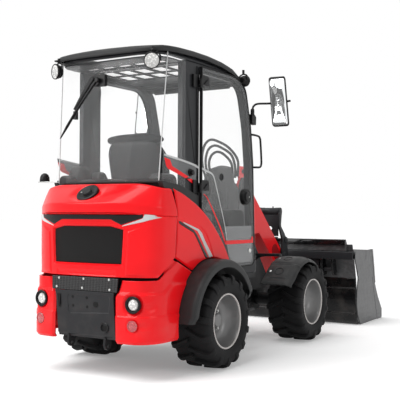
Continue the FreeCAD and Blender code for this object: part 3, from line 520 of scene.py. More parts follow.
def on_plan(plan, s, inset=0.0):
    """Place and outward direction of a signed distance s along a plan, drawn in by an inset."""
    line, length = plan
    a = np.abs(s)
    x, y = np.interp(a, length, line[:, 0]), np.interp(a, length, line[:, 1])
    step = 0.004
    dx = np.interp(a + step, length, line[:, 0]) - np.interp(a - step, length, line[:, 0])
    dy = np.interp(a + step, length, line[:, 1]) - np.interp(a - step, length, line[:, 1])
    dy = np.where(a < step, step, dy)
    dx = np.where(a < step, 0, dx)
    size = np.hypot(dx, dy)
    sign = np.where(s < 0, -1.0, 1.0)
    nx, ny = -dy / size, dx / size
    return x - nx * inset, sign * (y - ny * inset), nx, sign * ny


def plan_at_x(plan, x):
    line, length = plan
    return np.interp(x, line[:, 0], length)


def plan_at_y(plan, y):
    line, length = plan
    reach = np.argmax(line[:, 1] >= 0.5349) or len(line)
    return np.interp(y, line[:reach, 1], length[:reach])


def wrapped(plan, s, z, inset):
    """Points at distances s along a plan and heights z."""
    x, y, _, _ = on_plan(plan, s, inset)
    return np.stack([x, y, z + np.zeros_like(x)], axis=-1)


def band(y0, y1, lower, upper, inset, count, rows):
    """Thin skin on the body's plan between two lines z(y), given as points (y, z)."""
    y = np.linspace(y0, y1, count)[None, :]
    lo, hi = (np.interp(y, *np.transpose(line)) for line in (lower, upper))
    z = lo + (hi - lo) * np.linspace(0, 1, rows)[:, None]
    s = np.sign(y) * plan_at_y(BODY, np.abs(y)) + np.zeros_like(z)
    return surface(wrapped(BODY, s, z, inset))


# ---------------------------------------------------------------------------- hood
seam_z = [0.690, 0.823, 1.100, 1.180, 1.298]
seam_x = [-0.672, -0.495, -0.476, -0.488, -0.514]
grille = [(-.297, .767), (.297, .767), (.312, 1.018), (.205, 1.042), (-.205, 1.042), (-.312, 1.018)]


HOOD_ACROSS = np.linspace(-1, 1, 321)
HOOD_ROWS = ((0, 14), (0.12, 92), (0.46, 74), (0.80, 24))     # where each stretch starts, and its rows
STILL_SHARE, STILL_REACH = 0.6, 0.40


def hood_ring(plan, z, inset=0.0):
    """Plan line trimmed at the seam: the middle stretch keeps its own spacing, the ends stretch to the seam."""
    u = HOOD_ACROSS
    z = z + np.zeros_like(u)
    reach = plan_at_x(plan, np.interp(z, seam_z, seam_x))
    past = (np.abs(u) - STILL_SHARE) / (1 - STILL_SHARE)
    s = np.where(past < 0, u / STILL_SHARE * STILL_REACH, np.sign(u) * (STILL_REACH + (reach - STILL_REACH) * past))
    return wrapped(plan, s, z, inset)


def hood_surface():
    """Rings from the lower edge up to the lip, out round the brow, up its slope and in over the top."""
    side = smoothstep((np.abs(HOOD_ACROSS) - 0.45) / 0.5)
    lip = 1.128 - 0.026 * side
    shoulder = 1.186 - 0.030 * side
    crown = 1.322 - 0.030 * side
    middle = hood_ring(CROWN, 1.298)
    middle[:, 1] = 0
    middle[:, 0] = -0.600 + 0.086 * side
    middle[:, 2] = 1.310
    half_way = 0.5 * (hood_ring(BROW, shoulder, 0.004) + hood_ring(CROWN, crown - 0.012))
    half_way[:, 2] += 0.010
    flank = ((0.694, 0.022), (0.692, 0.004), (0.692, 0), (0.700, 0), (0.760, 0), (0.823, 0), (0.823, 0), (0.900, 0),
             (0.980, 0), (1.050, 0), (1.100, 0), (lip - 0.012, 0), (lip - 0.012, 0))
    brow = ((lip - 0.002, 0.012), (lip, 0), (lip, 0), (lip + 0.020, 0), (shoulder, 0), (shoulder + 0.004, 0.003))
    top = ((crown - 0.016, 0), (crown - 0.004, 0.006), (crown + 0.002, 0.040), (crown - 0.004, 0.120))
    rings = [hood_ring(BODY, *level) for level in flank] + [hood_ring(BROW, *level) for level in brow]
    rings += [half_way] + [hood_ring(CROWN, *level) for level in top] + [middle]
    starts = [start for start, _ in HOOD_ROWS] + [1]
    at = np.concatenate([np.linspace(start, stop, rows, endpoint=stop == 1)
                         for (start, rows), stop in zip(HOOD_ROWS, starts[1:])])
    p = bspline(rings, at)
    y, z = p[..., 1], p[..., 2]
    face = (p[..., 0] < -0.70) & (z < 1.11)
    depth = inside(np.stack([y, z], axis=-1), grille)
    p[..., 0] += np.where(face, 0.016 * smoothstep(depth / 0.012), 0)
    outer = inside(np.stack([np.abs(y), z], axis=-1), [(.318, .70), (.70, .70), (.70, 1.11), (.470, 1.052),
                                                       (.336, 1.000)])
    p[..., 0] -= np.where(face, 0.007 * smoothstep(outer / 0.016) * smoothstep((0.50 - np.abs(y)) / 0.12), 0)
    strip = inside(np.stack([y, z], axis=-1), [(-.255, .694), (.255, .694), (.262, .735), (-.262, .735)])
    p[..., 0] += np.where(face, 0.004 * smoothstep(strip / 0.012), 0)
    slope = (p[..., 0] < -0.69) & (z > 1.19)
    far = np.hypot(y / 0.150, (z - 1.262) / 0.064)
    dish = np.where(slope, smoothstep((1.05 - far) / 0.55), 0)
    p[..., 0] += 0.010 * dish
    p[..., 2] -= 0.014 * dish
    return surface(p)


piece("hood_shell", hood_surface(), red, "hood_body", "red_paint", wall=0.004, outward=(-1, 0, 0.4), angle=50,
      stands_for="hood")
mesh_top = [(-.300, 1.012), (-.205, 1.032), (.205, 1.032), (.300, 1.012)]
piece("hood_grille", band(-.300, .300, [(-.300, .780), (.300, .780)], mesh_top, 0.0145, 80, 30), grille_mesh,
      "hood_body", wall=0.003, outward=(-1, 0, 0))
band_low = [(-.436, 1.089), (-.294, 1.042), (-.215, 1.078), (.215, 1.078), (.294, 1.042), (.436, 1.089)]
band_high = [(-.436, 1.112), (.436, 1.112)]
piece("hood_band", band(-.436, .436, band_low, band_high, -0.0015, 140, 8), black_gloss, "hood_body",
      wall=0.0015, outward=(-1, 0, 0))
flash = band(.300, .524, [(.300, 1.032), (.441, 1.063), (.524, 1.091)],
             [(.300, 1.036), (.4345, 1.0850), (.4455, 1.113), (.495, 1.108), (.524, 1.093)], -0.0018, 70, 6)
piece("hood_flashes", both(flash), silver, "hood_body", wall=0.0015, outward=(-1, 0, 0))

latch_place = np.array([-0.778, 0, 1.260])
latch_axis = unit(np.array([-0.66, 0, 0.75]))
latch = turned([(0, .014), (.030, .014), (.034, .010), (.036, .001), (.055, .000), (.062, .005), (.072, .006),
                (.079, .003), (.081, -.003), (.081, -.016), (0, -.016)], latch_place, latch_axis, 56)
piece("hood_latch", latch, trim, "hood_body", angle=40)
piece("hood_latch_key", disc(latch_place + latch_axis * 0.001 + (0, .050, 0), latch_axis, .0055, .004, 16), zinc,
      "hood_body", "chrome_rod")


# ---------------------------------------------------------------------------- counterweights
FENDER_Z, FENDER_R = 0.335, 0.455
WEIGHT_ROWS, WEIGHT_COLUMNS = 110, 150


def counterweight():
    """Patch in (distance along the plan, height), bent round the plan, with its creases and lamp hollow."""
    z_arc = np.linspace(.257, .710, WEIGHT_ROWS)
    x_arc = -np.sqrt((FENDER_R + 0.004) ** 2 - (z_arc - FENDER_Z) ** 2)
    right = np.stack([plan_at_x(WEIGHT, x_arc), z_arc], axis=1)
    left = np.stack([np.interp(z_arc, [.257, .587, .654, .700], [.266, .258, .289, .304]),
                     np.linspace(.257, .674, WEIGHT_ROWS)], axis=1)
    bottom = even([left[0], right[0]], WEIGHT_COLUMNS)
    top_line = ((-.668, .674), (-.645, .684), (-.497, .800), (-.488, .804), (-.476, .800))
    top = even([left[-1], *((float(plan_at_x(WEIGHT, x)), z) for x, z in top_line), right[-1]], WEIGHT_COLUMNS)
    p = coons(bottom, top, left, right)
    s, z = p[..., 0], p[..., 1]
    x, y, nx, ny = on_plan(WEIGHT, s)
    lamp_s = float(plan_at_y(WEIGHT, .400))
    below = smoothstep((0.604 + 0.05 * smoothstep((s - .62) / .12) - z) / 0.030)
    skirt = smoothstep((0.446 - z - 0.18 * smoothstep((s - .80) / .10)) / 0.014)
    lamp = smoothstep((1.15 - np.hypot((s - lamp_s) / .072, (z - .518) / .072)) / 0.40)
    dent = smoothstep((1 - np.hypot((s - lamp_s - .105) / .085, (z - .500) / .040)) / 0.8)
    eye = smoothstep((1.15 - np.hypot((s - lamp_s) / .046, (z - .380) / .046)) / 0.45)
    low_dent = smoothstep((1 - np.hypot((s - lamp_s - .075) / .075, (z - .375) / .030)) / 0.8)
    edge = smoothstep((s - s[:, :1]) / 0.020)
    rise = 0.5 * np.maximum(s - float(plan_at_x(WEIGHT, -.668)), 0)
    roll = smoothstep((z - .257) / 0.020) * smoothstep((.690 - z + rise) / 0.014)
    push = (0.012 * below + 0.006 * skirt - 0.016 * lamp - 0.009 * dent - 0.008 * eye - 0.006 * low_dent
            - 0.014 * (1 - edge) - 0.012 * (1 - roll) - 0.012)
    q = np.stack([x + nx * push, y + ny * push, z], axis=-1)
    return surface(q), lamp_s


weight, lamp_s = counterweight()
pair("counterweight", weight, red, slot="red_paint", wall=0.014, outward=(-1, 1, 0), angle=50,
     stands_for="counterweights")


def rear_lamp(z):
    """Seat of a round lamp on the plan: its place and the direction it faces."""
    x, y, nx, ny = on_plan(WEIGHT, np.array([lamp_s]))
    facing = unit(np.array([nx[0] - 0.55, ny[0] * 0.55, 0]))
    return np.array([x[0], y[0], z]) - facing * 0.006, facing


place, facing = rear_lamp(.518)
housing = turned([(0, -.040), (.046, -.040), (.056, -.004), (.058, .004), (.054, .009), (.044, .007),
                  (.039, -.004), (.0385, -.012), (0, -.012)], place, facing, 48)
pair("tail_lamp_housing", housing, trim, slot="lamp_plastic")
bulb = turned([(0, -.011), (.0375, -.011), (.0375, -.004), (.033, .0005), (.020, .0035), (0, .0045)], place,
              facing, 48)
pair("tail_lamp_lens", bulb, lamp_glass, slot="lamp_plastic")
place, facing = rear_lamp(.380)
place = place + facing * 0.009
ring = turned([(.030, -.006), (.036, -.006), (.038, .002), (.036, .005), (.031, .004), (.030, -.001)], place,
              facing, 40, True)
pair("tail_reflector_ring", ring, reflector_red, slot="lamp_plastic")
spot = turned([(0, -.006), (.0305, -.006), (.0305, .0005), (.024, .003), (0, .0035)], place, facing, 40)
pair("tail_reflector", spot, reflector_red, slot="lamp_plastic")
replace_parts(bpy.data.objects["tail_lamp_lens_left"], "tail_lamps")


# ---------------------------------------------------------------------------- rear plate
def plate_point(y, z):
    """Face of the centre plate: upright strip at the top, then leaning in towards its foot."""
    x = np.interp(z, [.285, .590, .598, .690], [-.782, -.811, -.811, -.805])
    return np.stack([x + np.zeros_like(y), y, z + np.zeros_like(y)], axis=-1)


def plate_face():
    z = np.concatenate([np.linspace(.272, .285, 3, endpoint=False), np.linspace(.285, .590, 100)])[:, None]
    half = np.interp(z, [.285, .560, .590], [.250, .250, .256])
    p = plate_point(np.linspace(-1, 1, 170)[None, :] * half, z)
    depth = inside(p[..., 1:], [(-.205, .450), (.130, .430), (.150, .452), (.150, .548), (.140, .566),
                                (-.215, .566), (-.222, .545)])
    p[..., 0] += 0.0035 * smoothstep(depth / 0.006)
    fold = smoothstep((0.300 - z) / 0.020)
    p[..., 0] += 0.010 * fold
    return surface(p)


piece("rear_plate_face", plate_face(), charcoal, slot="charcoal_paint", wall=0.012, outward=(-1, 0, 0),
      stands_for="rear_plate")
strip_z = np.linspace(.594, .686, 8)[:, None]
strip = surface(plate_point(np.linspace(-1, 1, 60)[None, :] * np.interp(strip_z, [.594, .686], [.281, .287]),
                            strip_z))
piece("rear_vent_strip", strip, vent_plate, slot="charcoal_paint", wall=0.006, outward=(-1, 0, 0), bevel=0.001)
screw_places = plate_point(np.array([.222, .004, -.214, .240, .012, -.222]),
                           np.array([.672, .674, .676, .612, .612, .610])) - (0.002, 0, 0)
piece("rear_vent_screws", bolts(screw_places, (-1, 0, 0), .006, .004), zinc, slot="charcoal_paint")
# The holes, the slot and the grommet's middle are black discs and plates laid on the plate's face: painted shade
# standing for the openings.
hole_y = np.array([.103, -.020, .103, -.020, .200, .150, -.096])
hole_z = np.array([.548, .546, .487, .484, .484, .482, .506])
hole_r = (.010, .010, .010, .010, .008, .008, .022)
holes = merged(*(disc(plate_point(np.array([y]), np.array([z]))[0] + (0.0042, 0, 0), (-1, 0, 0), r, .0022, 24, .0006)
                 for y, z, r in zip(hole_y, hole_z, hole_r)))
slot_hole = slab([(.235, .562), (.205, .562), (.214, .474), (.222, .468)], -.812, -.8075, "yz")
foot = plate_point(np.array([-.165]), np.array([.352]))[0]
foot_ring = turned([(.024, 0), (.034, 0), (.036, .004), (.031, .008), (.025, .006)],
                   foot, (-1, 0, 0), 40, True)
foot_hole = disc(foot, (-1, 0, 0), .0245, .0015, 32, .0005)
piece("rear_plate_openings", merged(holes, slot_hole, foot_hole), seal)
piece("rear_plate_grommet", foot_ring, trim)


# ---------------------------------------------------------------------------- side panels
def side_panel():
    """Patch between the lower edge, which follows the fender, and the long curved top edge."""
    columns, rows = 260, 120
    sweep = np.radians(np.linspace(123.5, 57.5, 40))
    arc = np.stack([(FENDER_R + .004) * np.cos(sweep), FENDER_Z + (FENDER_R + .004) * np.sin(sweep)], axis=1)
    bottom = even(np.concatenate([[(-.478, .818), (-.440, .801)], arc, [(.297, .716)]]), columns)
    top = curve([(-.497, 1.290), (-.470, 1.281), (-.390, 1.259), (-.282, 1.218), (-.189, 1.176), (-.093, 1.121),
                 (-.006, 1.060), (.067, .998), (.132, .935), (.191, .871), (.247, .795), (.297, .722)], columns)
    left = curve([(-.478, .818), (-.462, .960), (-.458, 1.098), (-.470, 1.180), (-.497, 1.290)], rows)
    right = even([(.297, .716), (.297, .722)], rows)
    p = coons(bottom, top, left, right)
    inner = inside(p, [(-.70, 1.10), (-.70, .60), (.10, .60), (.034, .800), (-.020, .905), (-.070, .975),
                       (-.150, 1.030), (-.300, 1.070), (-.460, 1.098)])
    u = np.linspace(0, 1, columns)[None, :]
    v = np.linspace(0, 1, rows)[:, None]
    width = np.linalg.norm(top - bottom, axis=1)[None, :]
    rim = np.minimum(np.minimum(v, 1 - v) * width, np.minimum(u, 1 - u) * 1.1)
    y = .532 - 0.005 * smoothstep(inner / 0.012) - 0.012 * (1 - smoothstep(rim / 0.014)) ** 2
    return surface(np.stack([p[..., 0], y, p[..., 1]], axis=-1))


DECAL = 0.0008


def stripe(line, inner):
    """Decal between two side-view lines, lying just proud of the panel."""
    t = np.linspace(0, 1, 5)[:, None, None]
    p = even(line, 90) * (1 - t) + even(inner, 90) * t
    return surface(np.insert(p, 1, .5285, axis=-1))


black_stripe = stripe([(-.444, 1.068), (-.418, 1.066), (-.372, 1.048), (-.245, 1.002), (-.205, .970), (-.048, .800)],
                      [(-.436, 1.052), (-.422, 1.045), (-.380, 1.030), (-.252, .985), (-.222, .958), (-.088, .800)])
silver_stripe = stripe([(-.388, 1.062), (-.300, 1.040), (-.180, 1.008), (-.139, .982), (-.095, .925), (.016, .806)],
                       [(-.372, 1.050), (-.300, 1.026), (-.200, .996), (-.176, .972), (-.130, .918), (-.034, .800)])
pair("side_panel", side_panel(), red, slot="red_paint", wall=0.010, outward=(0, 1, 0), angle=50,
     stands_for="side_panels")
pair("side_stripe_black", black_stripe, black_gloss, wall=DECAL, outward=(0, 1, 0))
pair("side_stripe_silver", silver_stripe, silver, wall=DECAL, outward=(0, 1, 0))


# ---------------------------------------------------------------------------- rear fenders
def rear_fender():
    """Profile (radius, y) carried round the arch: flat crown, rounded shoulder, lip turned down."""
    profile = rounded([(.455, .474), (.455, .640), (.444, .662), (.398, .663), (.394, .655), (.434, .648),
                       (.443, .632), (.443, .474)], [.001, .014, .012, .003, .003, .010, .008, .001], 6)
    share = np.linspace(0, 1, 90)[:, None]
    t = np.radians(176 - 155 * share)
    ends = smoothstep(np.minimum(share, 1 - share) / 0.05)
    r, y = profile.T[:, None]
    inner = profile[0, 1]
    reach = inner + (y - inner) * (0.86 + 0.14 * ends)
    p = np.stack([r * np.cos(t), reach, FENDER_Z + r * np.sin(t)], axis=-1)
    return capped(p)


pair("rear_fender", rear_fender(), plastic, angle=40, stands_for="rear_fenders")


# ---------------------------------------------------------------------------- wheels
LUGS = 15


def tyre_shell():
    """Carcass turned round the hub, with two staggered rows of lugs carried from the middle to the shoulder."""
    carcass = curve([(.196, -.128), (.205, -.146), (.235, -.157), (.275, -.159), (.300, -.152), (.312, -.135),
                     (.318, -.080), (.320, 0), (.318, .080), (.312, .135), (.300, .152), (.275, .159),
                     (.235, .157), (.205, .146), (.196, .128)], 46)
    bead = np.array([(.192, .110), (.192, -.110)])
    body = turned(np.concatenate([carcass, bead]), (0, 0, 0), (0, 1, 0), 96, True)
    t = np.linspace(0, 1, 12)
    y = np.interp(t, [0, .62, .80, .90, 1], [-.006, .112, .148, .158, .161])
    turn = np.interp(t, [0, .62, 1], [-.105, .085, .118])
    high = np.interp(t, [0, .62, .78, .88, 1], [.3435, .3405, .334, .318, .284])
    low = np.interp(t, [0, .62, .78, .88, 1], [.314, .314, .300, .285, .262])
    wide = np.interp(t, [0, .3, .7, 1], [.030, .032, .042, .050])
    lean = np.array([[-1.18, 0], [1.18, 0], [.88, 1], [-.88, 1]])
    radius = low[:, None] + (high - low)[:, None] * lean[None, :, 1]
    angle = turn[:, None] + 0.5 * wide[:, None] * lean[None, :, 0] / .330
    out = y[:, None] + 0.004 * lean[None, :, 1] * smoothstep((t[:, None] - .8) / .2)
    spin = np.arange(LUGS) * 2 * math.pi / LUGS
    shells = []
    for side, phase in ((1, 0.0), (-1, math.pi / LUGS)):
        a = angle[None] + (spin + phase)[:, None, None]
        p = np.stack([radius[None] * np.cos(a), np.broadcast_to(side * out, a.shape), radius[None] * np.sin(a)], -1)
        shells += [capped(lug) for lug in p]
    return body, merged(*shells)


def rim_shell():
    """Bead flange, rolled edge and the deep dish that falls to the wheel disc and hub."""
    dish = [(.1915, -.120), (.1985, -.128), (.1985, -.120), (.1925, -.112), (.186, -.060), (.186, .020),
            (.1915, .110), (.1985, .128), (.2005, .139), (.197, .143), (.191, .141), (.187, .132), (.182, .110),
            (.172, .078), (.158, .046), (.140, .026), (.118, .018), (.096, .020), (.088, .028), (.084, .032),
            (.058, .032), (.052, .038), (.050, .062), (.044, .068), (0, .070)]
    back = [(0, -.030), (.080, -.030), (.100, -.010), (.130, .006), (.165, .012), (.176, .000), (.180, -.070),
            (.184, -.110), (.1915, -.120)]
    return turned(back + dish, (0, 0, 0), (0, 1, 0), 72)


tyre_body, tyre_lugs = tyre_shell()
rim_body = rim_shell()
nut_angles = np.arange(6) * math.pi / 3
nut_places = np.stack([.074 * np.cos(nut_angles), np.full(6, .032), .074 * np.sin(nut_angles)], axis=1)
wheel_edge = turned([(.1885, .1335), (.1985, .1290), (.2020, .1400), (.1975, .1455), (.1905, .1440)], (0, 0, 0),
                    (0, 1, 0), 72, True)
wheel_nuts = bolts(nut_places, (0, 1, 0), .011, .014)
for end, axle in (("rear", REAR), ("front", FRONT)):
    for name, side in SIDES:
        tag, hub = f"{end}_{name}", (0, side * HALF_TRACK, TYRE_RADIUS)
        for part, shell, finish, slot, form in (
                ("tyre_carcass", tyre_body, rubber, "tyre_rubber", {"angle": 40, "stands_for": f"tyre_{tag}"}),
                ("tyre_lugs", tyre_lugs, rubber, "tyre_rubber", {"angle": 40, "bevel": 0.004}),
                ("rim_dish", rim_body, rim_grey, "grey_rim_paint", {"angle": 30, "stands_for": f"rim_{tag}"}),
                ("rim_edge_lit", wheel_edge, rim_edge_lit, "grey_rim_paint", {}),
                ("wheel_nuts", wheel_nuts, zinc, "grey_rim_paint", {})):
            piece(f"{part}_{tag}", moved(sided(shell, side), hub), finish, f"wheel_{tag}", slot, axle, **form)


# ---------------------------------------------------------------------------- roof
ROOF_TOP = np.array([(-.660, 2.234), (-.625, 2.252), (-.542, 2.266), (-.386, 2.275), (-.204, 2.281), (-.012, 2.280),
                     (.192, 2.267), (.365, 2.241), (.500, 2.200), (.560, 2.165)])
SKYLIGHT_MIDDLE, SKYLIGHT_REACH = np.array([-.110, 0]), (.310, .380)


def roof_level(x, y):
    """Height of the roof skin: the side line read at x, plus a crown that falls off with the square of y."""
    return np.interp(x, *ROOF_TOP.T) + 0.020 * (1 - (y / 0.5) ** 2)


def roof_shell():
    """Closed band between the skylight and the eaves: top, rolled rim, underside and the skylight's own wall."""
    plan = even(rounded([(-.655, 0), (-.640, .300), (-.605, .425), (-.530, .490), (-.400, .502), (.400, .502),
                         (.545, .480), (.560, .400), (.560, -.400), (.545, -.480), (.400, -.502), (-.400, -.502),
                         (-.530, -.490), (-.605, -.425), (-.640, -.300)], .06), 280, True)
    ray = plan - SKYLIGHT_MIDDLE
    reach = np.minimum(*(SKYLIGHT_REACH[k] / np.maximum(np.abs(ray[:, k]), 1e-6) for k in (0, 1)))
    hole = SKYLIGHT_MIDDLE + ray * reach[:, None]
    stations = [(0, -.034), (0, -.004), (.01, 0), (.20, 0), (.45, 0), (.70, 0), (.88, -.001), (.955, -.004),
                (.985, -.011), (1, -.022), (1, -.036), (.985, -.041), (.90, -.040), (.5, -.036), (.02, -.036)]
    rings = []
    for r, drop in stations:
        xy = hole * (1 - r) + plan * r
        rings.append(np.column_stack([xy, roof_level(*xy.T) + drop]))
    return surface(np.array(rings), wrap_u=True, wrap_v=True)


piece("roof_shell", roof_shell(), plastic, angle=50, stands_for="cab_roof")
grid = [block(-.430, .210, y - .008, y + .008, 2.188, 2.202) for y in np.linspace(-.380, .380, 6)]
grid += [block(x - .008, x + .008, -.388, .388, 2.189, 2.201) for x in (-.420, -.213, -.007, .200)]
piece("skylight_grid", merged(*grid), cab_grey)
lid = slab([(-.425, -.385), (.205, -.385), (.205, .385), (-.425, .385)], 2.2025, 2.2065, "xy")
piece("skylight_diffuser", lid, opal_painted_glow, slot="clear_glass")
pane_x, pane_y = np.meshgrid(np.linspace(-.418, .198, 20), np.linspace(-.378, .378, 20), indexing="ij")
pane = surface(np.stack([pane_x, pane_y, roof_level(pane_x, pane_y) - 0.006], axis=-1))
piece("skylight_pane", pane, glass, wall=0.005, outward=UP)
eave = even(rounded([(-.590, -.300), (-.560, -.430), (-.480, -.462), (.480, -.462), (.530, -.400), (.530, .400),
                     (.480, .462), (-.480, .462), (-.560, .430), (-.590, .300)], .05), 160, True)
eave_low = np.column_stack([eave, np.full(len(eave), 2.209)])
eave_high = np.column_stack([eave, roof_level(*eave.T) - 0.037])
piece("eave_panel", surface(np.stack([eave_low, eave_high]), wrap_v=True), cab_grey, wall=0.010)
liner_hole = even(oblong(-.420, .200, -.380, .380, .02), 160, True)


def ring_plate(outer, inner, low, high, plane="xy"):
    """Flat plate between two closed outlines with equal point counts: both faces and both edges."""
    first, second, across = PLANES[plane]
    p = np.zeros((4, len(outer), 3))
    p[..., [first, second]], p[..., across] = (outer, outer, inner, inner), [[low], [high], [high], [low]]
    return surface(p, wrap_u=True, wrap_v=True)


def matched(outer, inner, radius_outer, radius_inner, count):
    """Two outlines resampled alike: each inner point is the one nearest its outer point's share of the length."""
    a = even(rounded(outer, radius_outer, 7), count, True)
    b = even(rounded(inner, radius_inner, 7), count, True)
    shift = min(range(count), key=lambda k: np.linalg.norm(a - np.roll(b, -k, axis=0), axis=1).sum())
    return a, np.roll(b, -shift, axis=0)


around = matched(eave[::4] * (0.985, 0.985), liner_hole[::4], 0, 0, 160)
piece("headliner", ring_plate(*around, 2.190, 2.200), cab_grey)


# ---------------------------------------------------------------------------- cab glass
def drawn_in(outline, depth):
    """Closed outline moved inwards by a distance, each point along its own normal."""
    tangent = unit(np.roll(outline, -1, axis=0) - np.roll(outline, 1, axis=0))
    normal = np.stack([-tangent[:, 1], tangent[:, 0]], axis=1)
    turning = np.sum(outline[:, 0] * np.roll(outline[:, 1], -1) - outline[:, 1] * np.roll(outline[:, 0], -1))
    return outline + normal * depth * np.sign(turning)


def rear_pane(z, u):
    """Rear glass: its side edges lean forwards and outwards with height, and it bows back between them."""
    edge_x = np.interp(z, [1.32, 1.60, 2.12, 2.24], [-.566, -.547, -.507, -.498])
    half = np.interp(z, [1.32, 1.60, 2.12, 2.24], [.442, .450, .465, .467])
    return np.stack([edge_x - 0.058 * (1 - u ** 2) + 0 * z, half * u, z + 0 * u], axis=-1)


pane_z = np.linspace(1.328, 2.228, 40)
piece("rear_glass", surface(rear_pane(pane_z[:, None], np.linspace(-1, 1, 60)[None, :])), glass, slot="clear_glass",
      wall=0.006, outward=(-1, 0, 0), stands_for="rear_window")
across = np.linspace(-1, 1, 40)
gaskets = [tube(rear_pane(np.full(40, level), across) - (0.001, 0, 0), 0.0065, 40, 10) for level in (1.330, 2.226)]
piece("rear_glass_gasket", merged(*gaskets), seal)
edges = merged(*(tube(rear_pane(pane_z, np.full(40, u)), 0.0042, 40, 8) for u in (-1.004, 1.004)))
piece("rear_glass_edges", edges, silver)

quarter = [(-.567, 1.338), (-.547, 1.60), (-.507, 2.12), (-.498, 2.214), (-.282, 2.214), (-.282, 1.286),
           (-.350, 1.300), (-.454, 1.318)]
base_trim = [(-.578, 1.344), (-.454, 1.328), (-.349, 1.318), (-.165, 1.264), (-.104, 1.248), (-.104, 1.120),
             (-.189, 1.170), (-.282, 1.212), (-.390, 1.252), (-.497, 1.284), (-.560, 1.296)]
film = [(-.548, 1.512), (-.470, 1.503), (-.293, 1.482), (-.167, 1.462), (-.135, 1.456), (-.135, 1.318),
        (-.158, 1.324), (-.203, 1.367), (-.277, 1.376), (-.448, 1.440), (-.476, 1.486), (-.543, 1.494)]
flash_long = [(-.545, 1.500), (-.477, 1.489), (-.449, 1.446), (-.236, 1.380), (-.277, 1.368), (-.500, 1.425),
              (-.522, 1.442)]
flash_short = [(-.262, 1.364), (-.203, 1.368), (-.150, 1.348), (-.135, 1.330), (-.135, 1.304), (-.158, 1.322)]


def ribbon(line, width, y, count=70, curved=True):
    """Flat strip in a side view: a line with its width read along it, square to its own direction."""
    path = curve(line, count) if curved else even(line, count)
    off = left_of(path)
    wide = np.interp(np.linspace(0, 1, count), np.linspace(0, 1, len(width)), width)[:, None] / 2
    rows = np.stack([path - off * wide, path + off * wide])
    return surface(np.insert(rows, 1, y, axis=-1))


knob = turned([(0, .030), (.016, .030), (.019, .026), (.019, .012), (.026, .010), (.028, .004), (.028, 0), (0, 0)],
              (-.219, .4765, 1.411), (0, 1, 0), 32)
QUARTER_IN, QUARTER_OUT = .470, .476
pair("quarter_glass", slab(quarter, QUARTER_IN, QUARTER_OUT), glass, slot="clear_glass", bevel=0.001,
     stands_for="quarter_windows")
pair("quarter_base", slab(rounded(base_trim, .010, 4), .446, .482), plastic, bevel=0.003)
pair("quarter_film", slab(film, QUARTER_OUT + .0002, QUARTER_OUT + .0008), tint)
red_marks = merged(*(slab(mark, QUARTER_OUT + .0005, QUARTER_OUT + .0015) for mark in (flash_long, flash_short)))
pair("quarter_flash", red_marks, red, slot="red_paint")
silver_line = ribbon([(-.551, 1.519), (-.470, 1.509), (-.293, 1.488), (-.167, 1.468), (-.104, 1.452)],
                     (.012, .018), .4785)
pair("quarter_line", silver_line, silver, wall=DECAL, outward=(0, 1, 0))
pair("quarter_knob", knob, trim)


# ---------------------------------------------------------------------------- cab frame
CAB_HALF, CAB_TUBE = .470, .042
frame_outer = [(-.310, .940), (.060, .940), (.340, .730), (.520, .640), (.800, .640), (.762, 1.530), (.722, 1.830),
               (.640, 2.110), (.540, 2.208), (-.310, 2.208)]
frame_inner = [(-.104, 1.226), (-.020, 1.160), (.100, 1.050), (.170, .975), (.235, .890), (.290, .810), (.338, .748),
               (.400, .722), (.705, .722), (.662, 1.515), (.625, 1.800), (.545, 2.080), (.440, 2.150), (-.104, 2.150)]
ring = matched(frame_outer, frame_inner, .035, [.010] * 10 + [.06, .12, .06, .04], 260)
pair("cab_side", ring_plate(*ring, CAB_HALF - CAB_TUBE, CAB_HALF, "xz"), cab_grey, slot="charcoal_paint",
     bevel=0.004, angle=40, stands_for="cab_frame")
# The groove in the post is a thin black strip on its flat face: painted shade.
groove = block(-.130, -.118, CAB_HALF + .0001, CAB_HALF + DECAL, 1.26, 2.19)
pair("post_groove", groove, seal)
gasket = ring_plate(drawn_in(ring[1], -0.004), drawn_in(ring[1], 0.006), CAB_HALF + .0002, CAB_HALF + .0045, "xz")
pair("door_gasket", gasket, seal)
inner_half = CAB_HALF - CAB_TUBE
cross_rails = [block(-.310, -.250, -inner_half, inner_half, 2.186, 2.208),
               block(.490, .540, -inner_half, inner_half, 2.160, 2.208),
               block(.730, .780, -inner_half, inner_half, .640, .700)]
piece("cab_cross_rails", merged(*cross_rails), cab_grey, slot="charcoal_paint", bevel=0.004)
sun_blind = tube([(.545, y, 2.140) for y in (-.36, -.1, .1, .36)], 0.018, 10, 14)
piece("sun_blind", sun_blind, plastic)


# ---------------------------------------------------------------------------- doors
door_outer = [(-.098, 1.150), (0, 1.072), (.076, 1.008), (.141, .945), (.201, .880), (.257, .804), (.314, .734),
              (.385, .702), (.700, .702), (.738, .740), (.700, 1.515), (.665, 1.800), (.590, 2.080), (.505, 2.160),
              (.395, 2.190), (-.098, 2.190)]
door_inner = [(-.072, 1.176), (.016, 1.104), (.092, 1.036), (.160, .966), (.222, .896), (.280, .812), (.330, .752),
              (.392, .728), (.690, .728), (.706, .756), (.668, 1.510), (.634, 1.790), (.562, 2.060), (.488, 2.132),
              (.388, 2.162), (-.072, 2.162)]
corner = [.012, .08, .08, .08, .08, .08, .05, .05, .03, .03, .5, .5, .16, .08, .08, .015]
RIM_IN, RIM_OUT, PANE_IN, PANE_OUT = .4765, .4920, .4924, .4974
door_ring = matched(door_outer, door_inner, corner, corner, 280)
lower_film = [(.249, 1.022), (.262, .960), (.290, .868), (.320, .800), (.345, .764), (.394, .734), (.688, .734),
              (.699, .758), (.686, 1.022)]
thin_line = [(-.088, 1.446), (-.030, 1.432), (.052, 1.412), (.082, 1.385), (.108, 1.333), (.150, 1.242),
             (.235, 1.050), (.279, .910)]
red_line = [(-.066, 1.262), (-.020, 1.236), (.030, 1.184), (.100, 1.105), (.180, 1.008), (.250, .900)]
